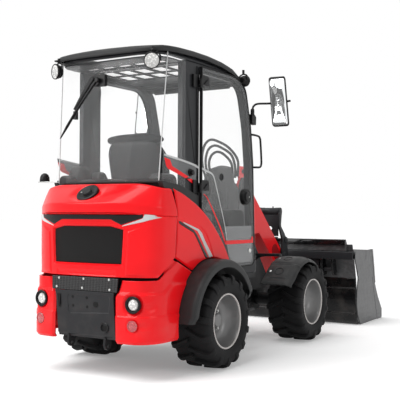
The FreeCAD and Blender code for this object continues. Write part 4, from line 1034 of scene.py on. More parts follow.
red_bar = [(.240, .914), (.675, .910), (.675, .934), (.704, .934), (.704, .884), (.252, .884)]
latch_base = np.array([.540, PANE_OUT + .0002, 1.251])
door_latch = turned([(0, .046), (.034, .046), (.040, .042), (.041, .034), (.050, .032), (.056, .036), (.060, .030),
                     (.061, .004), (.064, 0), (0, 0)], latch_base, (0, 1, 0), 48)
pull_ring = turned([(.012, .004), (.024, .006), (.028, .002), (.028, 0), (0, 0), (0, .001), (.012, .001)],
                   (.190, PANE_OUT + .0002, 1.394), (0, 1, 0), 32)
door_lock = turned([(0, .010), (.010, .010), (.014, .008), (.018, .002), (.018, 0), (0, 0)],
                   (.646, PANE_OUT + .0002, .823),
                   (0, 1, 0), 28)
pair("door_rim", ring_plate(*door_ring, RIM_IN, RIM_OUT, "xz"), cab_grey, "door_{}", "charcoal_paint", bevel=0.003,
     angle=40, stands_for="door_frame_{}")
pane_line = drawn_in(door_ring[0], 0.004)
pair("door_pane", slab(pane_line, PANE_IN, PANE_OUT), glass, "door_{}", "clear_glass", bevel=0.001,
     stands_for="door_glass_{}")
door_edge = ring_plate(door_ring[0], drawn_in(door_ring[0], 0.009), RIM_OUT - .0015, PANE_OUT + .0010, "xz")
pair("door_edge", door_edge, seal, "door_{}")
pair("door_film", slab(lower_film, PANE_IN - .0026, PANE_IN - .0002), tint, "door_{}")
silver_line = ribbon(thin_line, (.017, .015, .011, .009, .008), PANE_OUT + .0012, 110)
pair("door_line", silver_line, silver, "door_{}", wall=DECAL,
     outward=(0, 1, 0))
marks = merged(ribbon(red_line, (.007, .014, .016, .018), PANE_OUT + .0012, 90),
               slab(red_bar, PANE_OUT + .0004, PANE_OUT + .0012))
pair("door_mark", marks, red, "door_{}", "red_paint", outward=(0, 1, 0))
pair("door_latch", merged(door_latch, pull_ring), trim, "door_{}")
key = disc(latch_base + (.012, .0462, 0), (0, 1, 0), .005, .003, 16)
pair("door_lock", merged(door_lock, key), zinc, "door_{}", "chrome_rod")
HINGE_X, HINGE_Y = -.116, .500
straps, brackets = [], []
for level in (1.290, 2.050):
    straps.append(slab(rounded([(-.116, level - .004), (-.012, level - .004), (-.012, level + .058),
                                (-.028, level + .072), (-.116, level + .072)], .008, 4), .4978, .512))
    straps.append(rod((HINGE_X, HINGE_Y, level), UP, .0125, 0, .038))
    straps.append(slab([(-.090, level + .008), (-.036, level + .014), (-.036, level + .050)], .512, .519))
    brackets.append(slab(rounded([(-.190, level - .022), (-.104, level - .022), (-.104, level - .002),
                                  (-.128, level + .004), (-.128, level + .072), (-.190, level + .072)], .006, 4),
                         .4702, .488))
    brackets.append(turned([(0, -.020), (.0125, -.020), (.0125, -.0015), (.006, -.0015), (.006, .044), (.012, .044),
                            (.012, .050), (0, .050)], (HINGE_X, HINGE_Y, level), UP, 24))
    brackets.append(block(-.128, -.104, .470, .508, level - .020, level - .002))
pair("door_hinges", merged(*straps), trim, "door_{}", bevel=0.002)
pair("hinge_brackets", merged(*brackets), trim, bevel=0.002)
grip = tube([(.690, .474, 1.758), (.700, .500, 1.757), (.770, .508, 1.752), (.800, .508, 1.738), (.812, .508, 1.700),
             (.828, .508, 1.560), (.824, .508, 1.520), (.800, .508, 1.500), (.742, .500, 1.496),
             (.730, .474, 1.496)], 0.0085, 60, 12)
pair("grab_handle", grip, trim)


# ---------------------------------------------------------------------------- lamps, wiper, mirrors
def lamp_can(radius, depth):
    """Closed outline (radius, distance) of a round work lamp: finned back, barrel and bezel; lens apart."""
    return [(0, -depth), (radius * .55, -depth), (radius * .80, -depth * .80), (radius * .84, -depth * .55),
            (radius * .90, -depth * .50), (radius * .92, -depth * .25), (radius, -depth * .20), (radius * 1.02, 0),
            (radius * .98, .004), (radius * .92, .004), (radius * .90, -.004), (0, -.004)]


def work_lamp(tag, place, facing, radius, stands_for=None):
    """Round work lamp that hangs from a stem: body, lens, seven small reflectors, and a fork over its top."""
    place, facing = np.array(place), unit(np.array(facing))
    across = unit(np.cross(UP, facing))
    piece(f"lamp_body_{tag}", turned(lamp_can(radius, .052), place, facing, 40), trim, slot="lamp_plastic", angle=40,
          stands_for=stands_for)
    face = turned([(0, .001), (radius * .88, .001), (radius * .90, -.006), (0, -.006)], place, facing, 40)
    piece(f"lamp_lens_{tag}", face, lamp_glass, slot="lamp_plastic")
    front = place + facing * .0012
    spokes = [radius * .55 * (math.cos(a) * across + math.sin(a) * UP) for a in np.arange(6) * math.pi / 3]
    cups = [turned([(radius * .17, 0), (radius * .21, .0025), (radius * .23, 0)], front + spoke, facing, 20)
            for spoke in [0 * UP] + spokes]
    piece(f"lamp_cells_{tag}", merged(*cups), silver, slot="lamp_plastic")
    rear = place - facing * .03
    fork = [tube([rear + facing * .002 + turn * across * radius * .98,
                  rear + (turn * across * .8 + UP * .85) * radius, rear + UP * radius * 1.15], 0.006, 20, 8)
            for turn in (-1, 1)]
    stem = tube([rear + UP * radius * 1.1, rear + UP * (radius * 1.1 + .035)], 0.010, 4, 10)
    piece(f"lamp_fork_{tag}", merged(*fork, stem), trim)


for name, side in SIDES:
    work_lamp(f"rear_{name}", (-.632, side * .430, 2.150), (-math.cos(.38), side * math.sin(.38), -.05), .056,
              "work_lamps")
    work_lamp(f"front_{name}", (.560, side * .505, 2.172), (math.cos(.2), side * math.sin(.2), -.05), .044)
pair("lamp_rail", block(-.630, -.560, .416, .440, 2.222, 2.234), trim, bevel=0.002)

wiper_root = np.array([-.640, .020, 2.052])
wiper_tip = np.array([-.634, .352, 1.664])
reach = wiper_tip - wiper_root
blade_line = [wiper_root + reach * t + (-.018 - .010 * math.sin(math.pi * t), 0, 0)
              for t in (-.02, .2, .45, .7, 1.02)]
blade = swept(curve(blade_line, 40), oblong(-.006, .006, -.009, .009, .003, 3),
              size=np.interp(np.linspace(0, 1, 40), [0, .15, .8, 1], [.9, 1.15, 1.1, .5]))
square = unit(np.cross(reach, (1, 0, 0)))
arm_line = [wiper_root + reach * t + square * -.042 * math.cos(t * 1.1) + (-.012, 0, 0) for t in (.02, .2, .4, .56)]
arm = swept(curve(arm_line, 40), oblong(-.006, .006, -.012, .012, .003, 3),
            size=np.interp(np.linspace(0, 1, 40), [0, .3, 1], [1.3, 1.3, .7]))
motor = slab(oblong(-.030, .068, 2.010, 2.096, .012, 5), -.634, -.602, "yz")
joint_cap = turned([(0, .022), (.014, .022), (.018, .016), (.018, 0), (0, 0)], wiper_root + (-.006, 0, 0), (-1, 0, 0),
                   24)
clip = slab(oblong(-.014, .014, -.030, .030, .005, 4) + (.215, 1.815), -.664, -.640,
            "yz")
piece("rear_wiper", merged(arm, blade, motor, joint_cap, clip), trim, bevel=0.001)

marker_dome = turned([(0, 0), (.036, 0), (.038, .006), (.035, .034), (.026, .052), (.012, .062), (0, .064)],
                     (-.500, .645, 1.356), UP, 36)
piece("marker_lamp", marker_dome, trim, slot="lamp_plastic", angle=50)
marker_arm = slab(rounded([(-.528, .470), (-.452, .470), (-.470, .690), (-.530, .690)], .012, 4), 1.348, 1.3555, "xy")
piece("marker_arm", marker_arm, zinc, slot="chrome_rod", bevel=0.001)


def mirror_head(x):
    """Rounded oblong leaning outwards towards its foot: a plan (y, z) sheared along z, bulged behind."""
    line = even(rounded([(.583, 2.230), (.583, 1.828), (.727, 1.828), (.727, 2.230)], .022, 6), 80, True)
    line = line + np.column_stack([.038 * (2.230 - line[:, 1]) / .40, np.zeros(len(line))])
    middle = line.mean(axis=0)
    stations = np.array([(.955, .0035), (.975, 0), (1, .002), (1.02, .012), (.99, .024), (.86, .034), (.5, .039),
                         (.02, .040)])
    rings = [np.column_stack([np.full(len(line), x + depth), middle + (line - middle) * scale])
             for scale, depth in stations]
    return np.array(rings), middle + (line - middle) * .962


MIRROR_X, MIRROR_BOW = .800, .006
rings, face = mirror_head(MIRROR_X)
pair("mirror_shell", surface(rings, wrap_v=True), trim, angle=50, outward=(1, 0, 0), stands_for="mirrors")
middle = face.mean(axis=0)
scales = np.linspace(0.02, 1, 8)[:, None, None]
flat = middle + (face[None] - middle) * scales
bow = .0036 - MIRROR_BOW * (1 - scales[..., 0] ** 2) + np.zeros(flat.shape[:2])
face_points = np.stack([MIRROR_X + bow, flat[..., 0], flat[..., 1]], axis=-1)
pair("mirror_glass", surface(face_points, wrap_v=True), mirror_face_glow, slot="clear_glass", wall=0.002,
     outward=(-1, 0, 0))
arm = tube([(.700, .492, 1.868), (.700, .494, 1.965), (.712, .500, 1.995), (.740, .520, 2.012), (.800, .575, 2.018),
            (.824, .640, 2.020), (.826, .740, 2.028), (.826, .770, 2.030)], 0.0085, 60, 12)
clamp_line = [(.672, 1.850), (.742, 1.838), (.746, 1.905), (.716, 1.925), (.676, 1.925)]
clamp = slab(rounded(clamp_line, .010, 4), CAB_HALF, .504)
foot = turned([(0, -.018), (.016, -.018), (.016, .036), (.010, .044), (0, .044)], (.700, .492, 1.926), UP, 20)
pair("mirror_arm", merged(arm, clamp, foot), trim, bevel=0.002)


# ---------------------------------------------------------------------------- seat
def rounded_box(bend, power, rows=28, columns=56):
    """Unit superellipsoid, |x|^p + |y|^p + |z|^p = 1 read by latitude and longitude, passed through bend(points)."""
    lat = np.linspace(-math.pi / 2, math.pi / 2, rows)[:, None]
    lon = np.linspace(0, 2 * math.pi, columns, endpoint=False)[None, :]

    def share(value):
        return np.sign(value) * np.abs(value) ** (2 / power)

    unit_points = np.stack([share(np.cos(lat)) * share(np.cos(lon)), share(np.cos(lat)) * share(np.sin(lon)),
                            share(np.sin(lat)) + 0 * lon], axis=-1)
    return surface(bend(unit_points), wrap_v=True)


def seat_lean(z):
    """How far behind the rear axle's line the seat back stands at a height."""
    return np.interp(z, [1.14, 1.30, 1.50, 1.72], [-.168, -.180, -.205, -.248])


def back_form(low, high, front, rear, half_line):
    """Seat back: leans back with height, wraps forward at its sides, and is as wide as half_line says."""
    def bend(p):
        z = low + (high - low) * (p[..., 2] + 1) / 2
        half = np.interp(z, *np.array(half_line).T)
        depth = np.where(p[..., 0] > 0, front, rear) * p[..., 0]
        wrap = 0.055 * np.abs(p[..., 1]) ** 3 * np.interp(z, [1.15, 1.3, 1.5, 1.68], [.5, 1, .8, .1])
        return np.stack([seat_lean(z) + depth + wrap, half * p[..., 1], z], axis=-1)
    return bend


def seat_form(low, high):
    """Seat cushion: thicker bolsters along its sides and a rounded front edge."""
    def bend(p):
        x, y = -.020 + .225 * p[..., 0], .222 * p[..., 1]
        groove = .020 * np.exp(-((np.abs(y) - .150) / .012) ** 2)
        crown = .012 * (1 - p[..., 1] ** 2) * (1 - p[..., 0] ** 2) - groove
        top = (p[..., 2] > 0) * (crown + .018 * np.abs(p[..., 1]) ** 4)
        return np.stack([x, y, low + (high - low) * (p[..., 2] + 1) / 2 + top * p[..., 2]], axis=-1)
    return bend


PAD_GRID, PAD_FRAMES = 0.008, 20


def swollen(thing, cap):
    """Even remesh, then air pressure in a cloth skin; no point moves further than the cap."""
    scene = bpy.context.scene
    remesh = thing.modifiers.new("even", "REMESH")
    remesh.mode, remesh.voxel_size = "VOXEL", PAD_GRID
    even_mesh = bpy.data.meshes.new_from_object(thing.evaluated_get(bpy.context.evaluated_depsgraph_get()))
    thing.modifiers.clear()
    even_mesh.materials.clear()
    even_mesh.materials.append(thing.data.materials[0])
    thing.data = even_mesh
    even_mesh.shade_smooth()
    start = np.zeros(len(even_mesh.vertices) * 3)
    even_mesh.vertices.foreach_get("co", start)
    skin = thing.modifiers.new("skin", "CLOTH")
    skin.settings.use_pressure, skin.settings.uniform_pressure_force = True, 4
    skin.settings.effector_weights.gravity = 0
    skin.point_cache.frame_start, skin.point_cache.frame_end = 1, PAD_FRAMES
    for frame_number in range(1, PAD_FRAMES + 1):
        scene.frame_set(frame_number)
    blown = thing.evaluated_get(bpy.context.evaluated_depsgraph_get())
    end = np.zeros(len(start))
    blown.data.vertices.foreach_get("co", end)
    thing.modifiers.clear()
    scene.frame_set(1)
    step = (end - start).reshape(-1, 3)
    length = np.maximum(np.linalg.norm(step, axis=1, keepdims=True), 1e-9)
    moved_by = start.reshape(-1, 3) + step * np.minimum(1, cap / length)
    even_mesh.vertices.foreach_set("co", moved_by.ravel())
    even_mesh.update()
    soft = thing.modifiers.new("soft", "SUBSURF")
    soft.levels = soft.render_levels = 1
    return thing


seat_pad = piece("seat_pad", rounded_box(seat_form(1.038, 1.128), 5), cloth, slot="seat_fabric", angle=180)
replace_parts(swollen(seat_pad, .010), "seat_cushion")
back_half = [(1.14, .195), (1.24, .220), (1.40, .240), (1.55, .232), (1.70, .210)]
back_pad = piece("seat_back_pad", rounded_box(back_form(1.160, 1.640, .045, .020, back_half), 4.5), cloth,
                 slot="seat_fabric", angle=180)
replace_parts(swollen(back_pad, .010), "seat_back")
roll_half = [(1.60, .240), (1.66, .252), (1.71, .238)]
head_roll = piece("seat_top_roll", rounded_box(back_form(1.628, 1.702, .040, .052, roll_half), 3.2), cloth,
                  slot="seat_fabric", angle=180)
swollen(head_roll, .005)
shell_half = [(1.10, .190), (1.20, .224), (1.30, .248), (1.43, .262), (1.55, .252), (1.64, .230)]
back_shell = rounded_box(back_form(1.120, 1.655, -.014, .072, shell_half), 6, 34, 72)
piece("seat_back_shell", back_shell, seat_shell, slot="seat_fabric", angle=60)
pan = [(-.250, 1.020), (.190, 1.020), (.212, 1.034), (.212, 1.052), (-.262, 1.052), (-.262, 1.034)]
piece("seat_pan", slab(rounded(pan, .010), -.226, .226), plastic, bevel=0.008)
bellows = [block(-.190 + k * .002, .120 - k * .002, -.150 + k * .002, .150 - k * .002, .944 + k * .012,
                 .954 + k * .012) for k in range(7)]
piece("seat_bellows", merged(*bellows), seal, bevel=0.003, stands_for="seat_base")
seams = [tube([(seat_lean(level) + .050, y, level) for y in np.linspace(-half, half, 5)], .003, 20, 6)
         for level, half in ((1.245, .170), (1.440, .185))]
piece("seat_piping", merged(*seams), seal, slot="seat_fabric")


# ---------------------------------------------------------------------------- inside the cab
def pod(x0, x1, y0, y1, z0, z1, power=6):
    """Moulded housing: a softly squared block."""
    low, high = np.array([x0, y0, z0]), np.array([x1, y1, z1])
    return rounded_box(lambda p: low + (high - low) * (p + 1) / 2, power, 24, 40)


dash_line = [(.470, 1.020), (.545, .985), (.700, .960), (.748, .960), (.735, 1.130), (.690, 1.155), (.560, 1.150),
             (.480, 1.080)]
piece("dash", slab(rounded(dash_line, .03, 6), -.400, .400), plastic, bevel=0.010)
pod_line = [(.455, 1.085), (.560, 1.150), (.640, 1.240), (.668, 1.340), (.640, 1.352), (.560, 1.330), (.490, 1.240),
            (.440, 1.130)]
piece("instrument_pod", slab(rounded(pod_line, .03, 6), -.130, .130), plastic, bevel=0.012)
piece("instrument_face", pod(.438, .452, -.105, .105, 1.130, 1.225), seal)
consoles = [pod(-.200, .210, -.430, -.270, .930, 1.130), pod(-.200, .190, .290, .425, .930, 1.060),
            pod(-.150, .130, -.330, -.262, 1.185, 1.232, 4), pod(-.120, -.060, -.320, -.272, 1.110, 1.200)]
piece("side_consoles", merged(*consoles), plastic, angle=60)
lever_stick = tube([(.130, -.315, 1.110), (.140, -.312, 1.200), (.152, -.306, 1.262)], .010, 16, 12)
boot = turned([(0, 0), (.042, 0), (.034, .012), (.030, .014), (.026, .026), (.020, .028), (.014, .050), (0, .050)],
              (.130, -.315, 1.112), UP, 28)
grip_line = rounded_box(lambda p: np.array([.156, -.304, 1.305]) + p * (.024, .021, .052), 2.6, 20, 28)
piece("drive_lever", merged(lever_stick, boot, grip_line), trim, angle=60)
# The button takes the lamp lens finish and so glows: a painted glint.
piece("drive_button", disc((.150, -.304, 1.354), UP, .009, .004, 18), lamp_glass)
aux = [tube([(.060, y, 1.120), (.066, y, 1.175)], .006, 6, 10) for y in (-.385, -.350)]
aux += [rounded_box(lambda p, y=y: np.array([.067, y, 1.190]) + p * (.014, .014, .018), 2.4, 12, 18)
        for y in (-.385, -.350)]
piece("aux_levers", merged(*aux), trim, angle=60)
pedals = [slab(rounded([(.560, .690), (.640, .735), (.650, .722), (.570, .676)], .005), y - .035, y + .035)
          for y in (-.200, .210)]
piece("pedals", merged(*pedals), trim, bevel=0.003)
mat = slab(oblong(.30, .730, -.310, .310, .02), .6405, .6465, "xy")
piece("floor_mat", mat, rubber, bevel=0.002)
rear_trim = [pod(-.500, -.335, .290, .440, 1.25, 1.468, 3), pod(-.350, -.235, .235, .345, 1.20, 1.430, 3.4),
             pod(-.585, -.470, .330, .440, 1.25, 1.395, 4), pod(-.500, -.290, -.435, -.290, 1.20, 1.400, 4)]
piece("rear_trim_boxes", merged(*rear_trim), plastic, angle=60)
blower = [pod(.250, .470, .280, .420, .720, .960), pod(.250, .470, -.420, -.300, .720, .960)]
piece("heater_boxes", merged(*blower), plastic, angle=60)


# ---------------------------------------------------------------------------- tower, hoses and boom fittings
tower_web = slab([(1.104, .762), (1.118, .762), (1.190, 1.330), (1.178, 1.330)], -.101, .101)
piece("tower_cover", tower_web, charcoal, "front_body", "charcoal_paint", bevel=0.002)
cover_line = [(-.115, .770), (.225, .770), (.245, 1.200), (.235, 1.450), (.190, 1.520), (.060, 1.552), (-.040, 1.530),
              (-.060, 1.400), (-.115, 1.330)]
cover_rows = []
for inset, back in ((.040, .055), (.012, .050), (0, .036), (0, .004), (.006, 0)):
    line = drawn_in(even(rounded(cover_line, .03), 120, True), inset)
    lean = np.interp(line[:, 1], [.76, 1.38, 1.56], [1.100, 1.176, 1.190])
    cover_rows.append(np.column_stack([lean - back, line]))
piece("hose_cover", capped(np.array(cover_rows)), plastic, "front_body", angle=50)
ear_line = [(1.262, 1.546), (1.350, 1.546), (1.360, 1.500), (1.322, 1.372), (1.298, 1.372), (1.252, 1.490)]
ear_plates = slab(even(rounded(ear_line, .02), 80, True), -.062, -.042)
ear_pin = turned([(0, 0), (.017, 0), (.020, .004), (.020, .010), (.012, .014), (0, .014)], (1.324, -.062, 1.500),
                 (0, -1, 0), 28)
piece("boom_ear", ear_plates, red, "arm_body", "red_paint", bevel=0.002)
piece("boom_ear_pin", ear_pin, trim, "arm_body", "cast_steel", bevel=0.001)
hose_lines = [[(1.120, .070, 1.020), (1.080, .130, 1.300), (1.090, .220, 1.560), (1.140, .235, 1.720),
               (1.150, .178, 1.782), (1.150, .090, 1.764), (1.155, -.020, 1.700), (1.165, -.100, 1.590),
               (1.190, -.085, 1.450)],
              [(1.120, .040, 1.020), (1.075, .090, 1.300), (1.085, .180, 1.540), (1.130, .190, 1.680),
               (1.140, .130, 1.728), (1.145, .050, 1.704), (1.155, -.040, 1.640), (1.170, -.070, 1.540),
               (1.200, -.055, 1.440)],
              [(1.120, .010, 1.020), (1.070, .050, 1.300), (1.080, .140, 1.520), (1.120, .150, 1.630),
               (1.130, .090, 1.670), (1.140, .020, 1.640), (1.160, -.040, 1.560), (1.200, -.030, 1.430)]]
hoses = merged(*(tube(line, .0115, 110, 12) for line in hose_lines))
piece("hoses", hoses, rubber, "front_body", "tyre_rubber", angle=60)
ferrules = [turned([(0, -.020), (.016, -.020), (.016, .016), (.013, .022), (0, .022)], line[0], UP, 18)
            for line in hose_lines]
piece("hose_ferrules", merged(*ferrules), zinc, "front_body", "chrome_rod")
clamp = slab(oblong(1.062, 1.098, 1.292, 1.316, .006), .030, .155)
piece("hose_clamp", clamp, trim, "front_body", bevel=0.003)


def pin_heads(place, radius, depth=.012):
    """Ends of a cross pin on both sides, each with its locking flange."""
    return both(disc(place, (0, 1, 0), radius, depth, 32, .003))


piece("pivot_pin_heads", pin_heads((1.270, .126, 1.365), .032), trim, "front_body", "cast_steel", bevel=0.001)
piece("tip_pin_heads", pin_heads((2.440, .119, .300), .030), trim, "coupler_body", "cast_steel", bevel=0.001)
piece("lever_pin_heads", pin_heads((2.200, .1162, .530), .026, .010), trim, "arm_body", "cast_steel", bevel=0.001)
boom_line = np.array([(1.270, 1.365), (2.440, .300)])
direction = unit(boom_line[1] - boom_line[0])
square = np.array([-direction[1], direction[0]])


def along_boom(u, v):
    """Side-view point at u along the lift arm from its pivot and v above its middle line."""
    return boom_line[0] + direction * u + square * v


pad_outline = [along_boom(u, v) for u, v in ((.86, -.060), (1.02, -.060), (1.06, -.030), (1.06, .030), (1.02, .060),
                                             (.86, .060), (.83, .020), (.83, -.020))]
pair("boom_pad", slab(rounded(pad_outline, .02), .0902, .0925), red_dark, "arm_body", "red_paint", bevel=0.001)
pipes = [tube([(along_boom(u, v)[0], .1005, along_boom(u, v)[1]) for u in (.15, .30, .45, .58)], .009, 30, 12)
         for v in (-.030, .0, .030)]
piece("boom_pipes", merged(*pipes), trim, "arm_body", angle=60)
saddles = []
for u in (.22, .52):
    saddle_line = [along_boom(u + a, v) for a, v in ((-.014, -.048), (.014, -.048), (.014, .048), (-.014, .048))]
    saddles.append(slab(rounded(saddle_line, .004), .0905, .113))
piece("boom_saddles", merged(*saddles), trim, "arm_body", bevel=0.002)


# ---------------------------------------------------------------------------- tilt lever
LEVER_IN, LEVER_OUT = .097, .115
lever_plan = [(1.992, 1.178), (1.982, 1.100), (1.979, 1.000), (2.053, .860), (2.040, .722), (2.056, .678),
              (2.155, .530), (2.180, .488), (2.220, .488), (2.242, .530), (2.204, .640), (2.172, .740),
              (2.162, .800), (2.155, .860), (2.092, .930), (2.016, 1.000), (2.031, 1.100), (2.042, 1.150),
              (2.022, 1.180)]
plate_line = even(rounded(lever_plan, .02, 6), 160, True)
lever_parts = [both(slab(plate_line, LEVER_IN, LEVER_OUT))]
for x, z, radius in ((2.121, .860, .032), (2.086, .712, .034), (2.200, .530, .040)):
    ring_line = [(0, 0), (radius, 0), (radius, .007), (radius - .004, .010), (0, .010)]
    lever_parts.append(both(turned(ring_line, (x, LEVER_OUT, z), (0, 1, 0), 32)))
piece("lever_plates", merged(*lever_parts), charcoal, "lever_body", "charcoal_paint", bevel=0.002, angle=40,
      stands_for="tilt_lever")
tube_line = [(0, -.104), (.030, -.104), (.033, -.100), (.033, -.094), (.036, -.094), (.036, -.060), (.034, -.056),
             (.034, .056), (.036, .060), (.036, .094), (.033, .094), (.033, .100), (.030, .104), (0, .104)]
top_tube = turned(tube_line, (2.010, 0, 1.142), (0, 1, 0), 36)
link_tube = rod((2.121, 0, .860), (0, 1, 0), .017, -LEVER_IN, LEVER_IN)
eye_tube = rod((2.086, 0, .712), (0, 1, 0), .020, -LEVER_IN, LEVER_IN)
web_outline = [(-.097, 1.110), (.097, 1.110), (.097, 1.090), (.030, 1.032), (.097, 1.032), (.097, .995),
               (-.020, .995), (-.035, .975), (-.020, .955), (.097, .955), (.097, .900), (-.097, .900)]
web_plate = slab(web_outline, 1.984, 1.996, "yz")
nipple = turned([(0, 0), (.006, 0), (.006, .010), (.003, .014), (0, .016)], (2.010, -.030, 1.176), UP, 12)
piece("lever_tubes", merged(top_tube, link_tube, eye_tube, web_plate, nipple), charcoal, "lever_body",
      "charcoal_paint", angle=40)


# ---------------------------------------------------------------------------- cylinders' glands and collars
def gland_ring(base, tip, at, radius, width):
    """Stepped collar round a cylinder, at a distance from the base pin towards the tip pin."""
    base, tip = np.asarray(base, float), np.asarray(tip, float)
    way = unit(tip - base)
    line = [(0, 0), (radius, 0), (radius + .002, .004), (radius + .002, width - .004), (radius, width), (0, width)]
    return turned(line, base + way * at, way, 32)


lift_base, lift_tip = (1.050, 0, .400), (*along_boom(.400, -.151)[:1], 0, along_boom(.400, -.151)[1])
tilt_base, tilt_tip = (*along_boom(.340, -.035)[:1], 0, along_boom(.340, -.035)[1]), (2.086, 0, .712)
piece("lift_collars", merged(gland_ring(lift_base, lift_tip, .600, .0425, .050), gland_ring(lift_base, lift_tip,
                                                                                            .090, .0425, .020)),
      trim, "lift_barrel", "cylinder_paint")
piece("tilt_collars", merged(gland_ring(tilt_base, tilt_tip, .560, .0365, .045), gland_ring(tilt_base, tilt_tip,
                                                                                            .080, .0365, .018)),
      trim, "tilt_barrel", "cylinder_paint")


# ---------------------------------------------------------------------------- front fenders
FENDER_LINE = curve([(1.056, .520), (1.083, .552), (1.144, .590), (1.207, .645), (1.309, .703), (1.441, .734),
                     (1.578, .712), (1.662, .664), (1.690, .628)], 120)


def fender_shell():
    """Arch over a front wheel.  Across it the skin falls 30 mm at the outer edge with a rolled lip; panels stand
    8 mm proud in three fields between ribs, each step eased over a few millimetres."""
    s = np.linspace(0, 1, 120)[:, None]
    across = np.array([.384, .392, .400, .440, .452, .470, .500, .540, .580, .596, .606, .620, .640, .652, .658, .660,
                       .656, .650])
    y = across[None, :]
    drop = .012 * smoothstep((y - .600) / .05) + .024 * smoothstep((y - .648) / .012)
    drop = drop + .010 * (np.arange(len(across)) >= 16) * (np.arange(len(across)) - 15)
    fields = sum(smoothstep((s - a) / .015) * (1 - smoothstep((s - b + .015) / .015))
                 for a, b in ((.10, .34), (.38, .62), (.66, .88)))
    raised = .008 * fields * smoothstep((y - .412) / .03) * (1 - smoothstep((y - .586) / .02))
    ribs = sum(np.exp(-((s - c) / .008) ** 2) for c in (.36, .64)) * .005
    normal = left_of(FENDER_LINE)
    lift = raised + ribs - drop
    x = FENDER_LINE[:, :1] + normal[:, :1] * lift
    z = FENDER_LINE[:, 1:] + normal[:, 1:] * lift
    return surface(np.stack([x, y + 0 * x, z], axis=-1))


def on_fender(share, y, out):
    """Point above the fender's skin at a share of its length."""
    index = int(share * (len(FENDER_LINE) - 1))
    facing = left_of(FENDER_LINE)[index]
    x, z = FENDER_LINE[index] + facing * out
    return (x, y, z), (facing[0], 0, facing[1])


pair("front_fender", fender_shell(), plastic, "front_body", wall=0.006, outward=UP, angle=50,
     stands_for="front_fenders")
dishes, studs = [], []
for share, y in ((.22, .505), (.50, .505), (.77, .505)):
    place, facing = on_fender(share, y, .0075)
    dishes.append(turned([(.030, -.001), (.034, .003), (.040, .003), (.043, -.001)], place, facing, 36))
for share, y in ((.50, .425), (.22, .425)):
    place, facing = on_fender(share, y, .001)
    studs.append(turned([(0, 0), (.013, 0), (.013, .003), (.008, .003), (.008, .009), (0, .010)], place, facing, 20))
pair("fender_dishes", merged(*dishes), trim, "front_body")
pair("fender_studs", merged(*studs), zinc, "front_body", "chrome_rod")
stay = tube([(1.460, .118, .700), (1.460, .200, .742), (1.460, .384, .748)], .014, 24, 12)
stay = merged(stay, block(1.430, 1.490, .380, .520, .716, .728))
pair("fender_stay", stay, charcoal, "front_body", "charcoal_paint", angle=50)


# ---------------------------------------------------------------------------- bucket
SIDE_LINE = [(2.540, .735), (2.512, .769), (2.944, .748), (3.072, .752), (3.113, .581), (3.151, .392), (3.246, .243),
             (3.370, .097), (3.370, .008), (2.724, .002), (2.653, .094), (2.616, .215), (2.630, .357), (2.667, .477)]
BACK_LINE = [(2.515, .812), (2.528, .770), (2.545, .720), (2.592, .560), (2.622, .430), (2.620, .330), (2.617, .240),
             (2.640, .120), (2.668, .050), (2.712, .010), (2.780, .0015)]
outer_back = curve(BACK_LINE, 70)
inner_back = outer_back + left_of(outer_back) * 0.012
sheet_line = np.concatenate([outer_back, [(3.350, .001), (3.350, .013)], inner_back[::-1]])
BUCKET_IN, BUCKET_OUT = .653, .665
piece("bucket_shell", slab(sheet_line, -BUCKET_IN, BUCKET_IN), steel_worn, "coupler_body", "cast_steel", angle=30,
      stands_for="bucket")
cheek_line = rounded(SIDE_LINE, [.004, .01, .02, .012] + [.02] * 3 + [.006] * 3 + [.03] * 4, 6)
cheeks = both(slab(even(cheek_line, 160, True), BUCKET_IN, BUCKET_OUT))
piece("bucket_cheeks", cheeks, steel_worn, "coupler_body", "cast_steel", bevel=0.0015, angle=30)
edge_bar = slab([(3.240, .001), (3.372, .001), (3.372, .006), (3.350, .019), (3.240, .019)], -.664, .664)
side_bars = both(slab([(3.060, .744), (3.078, .750), (3.118, .590), (3.156, .400), (3.140, .392), (3.100, .575)],
                      BUCKET_IN - .003, BUCKET_OUT + .005))
piece("bucket_edges", merged(edge_bar, side_bars), steel_edge, "coupler_body", "cast_steel", bevel=0.001)
score = both(merged(ribbon([(2.876, .740), (2.876, .648)], (.004,), BUCKET_OUT + .0006, 8, False),
                    ribbon([(3.070, .460), (3.140, .240), (3.214, .023)], (.005,), BUCKET_OUT + .0006, 20)))
piece("bucket_seams", score, seal, "coupler_body", "cast_steel", wall=0.0006)
skin_outer = curve([(2.634, .480), (2.612, .472), (2.604, .400), (2.600, .330), (2.598, .220), (2.620, .110),
                    (2.650, .040), (2.700, .004)], 70)
skin_inner = skin_outer + left_of(skin_outer) * 0.010
piece("bucket_roll", slab(np.concatenate([skin_outer, skin_inner[::-1]]), -.650, .650), black_gloss, "coupler_body",
      "cast_steel", angle=40)
ridges = [tube([(x, y, z) for y in (-.650, -.2, .2, .650)], .010, 6, 12) for x, z in ((2.602, .372), (2.620, .118))]
piece("bucket_ridges", merged(*ridges), black_gloss, "coupler_body", "cast_steel")
tube_out = oblong(2.480, 2.560, .665, .745, .010, 4)
tube_in = oblong(2.488, 2.552, .673, .737, .006, 4)
cross_tube = merged(*(ring_plate(tube_out, tube_in, y0, y1, "xz") for y0, y1 in ((.560, .670), (-.670, -.560))),
                    slab(tube_out, -.560, .560))
piece("bucket_cross_tube", cross_tube, charcoal, "coupler_body", "cast_steel", bevel=0.001, angle=40)
guard = slab(rounded([(2.478, .808), (2.500, .806), (2.506, .860), (2.496, .866), (2.484, .860)], .004), -.588, .588)
guard_sheet = slab([(2.496, .750), (2.502, .750), (2.505, .812), (2.499, .812)], -.600, .600)
piece("spill_bar", guard, black_gloss, "coupler_body", "cast_steel", bevel=0.002)
piece("spill_sheet", guard_sheet, steel_worn, "coupler_body", "cast_steel")
wings = both(slab([(2.486, .858), (2.500, .866), (2.560, .770), (2.566, .740), (2.486, .745)], .586, .594))
piece("spill_wings", wings, steel_worn, "coupler_body", "cast_steel", bevel=0.001)
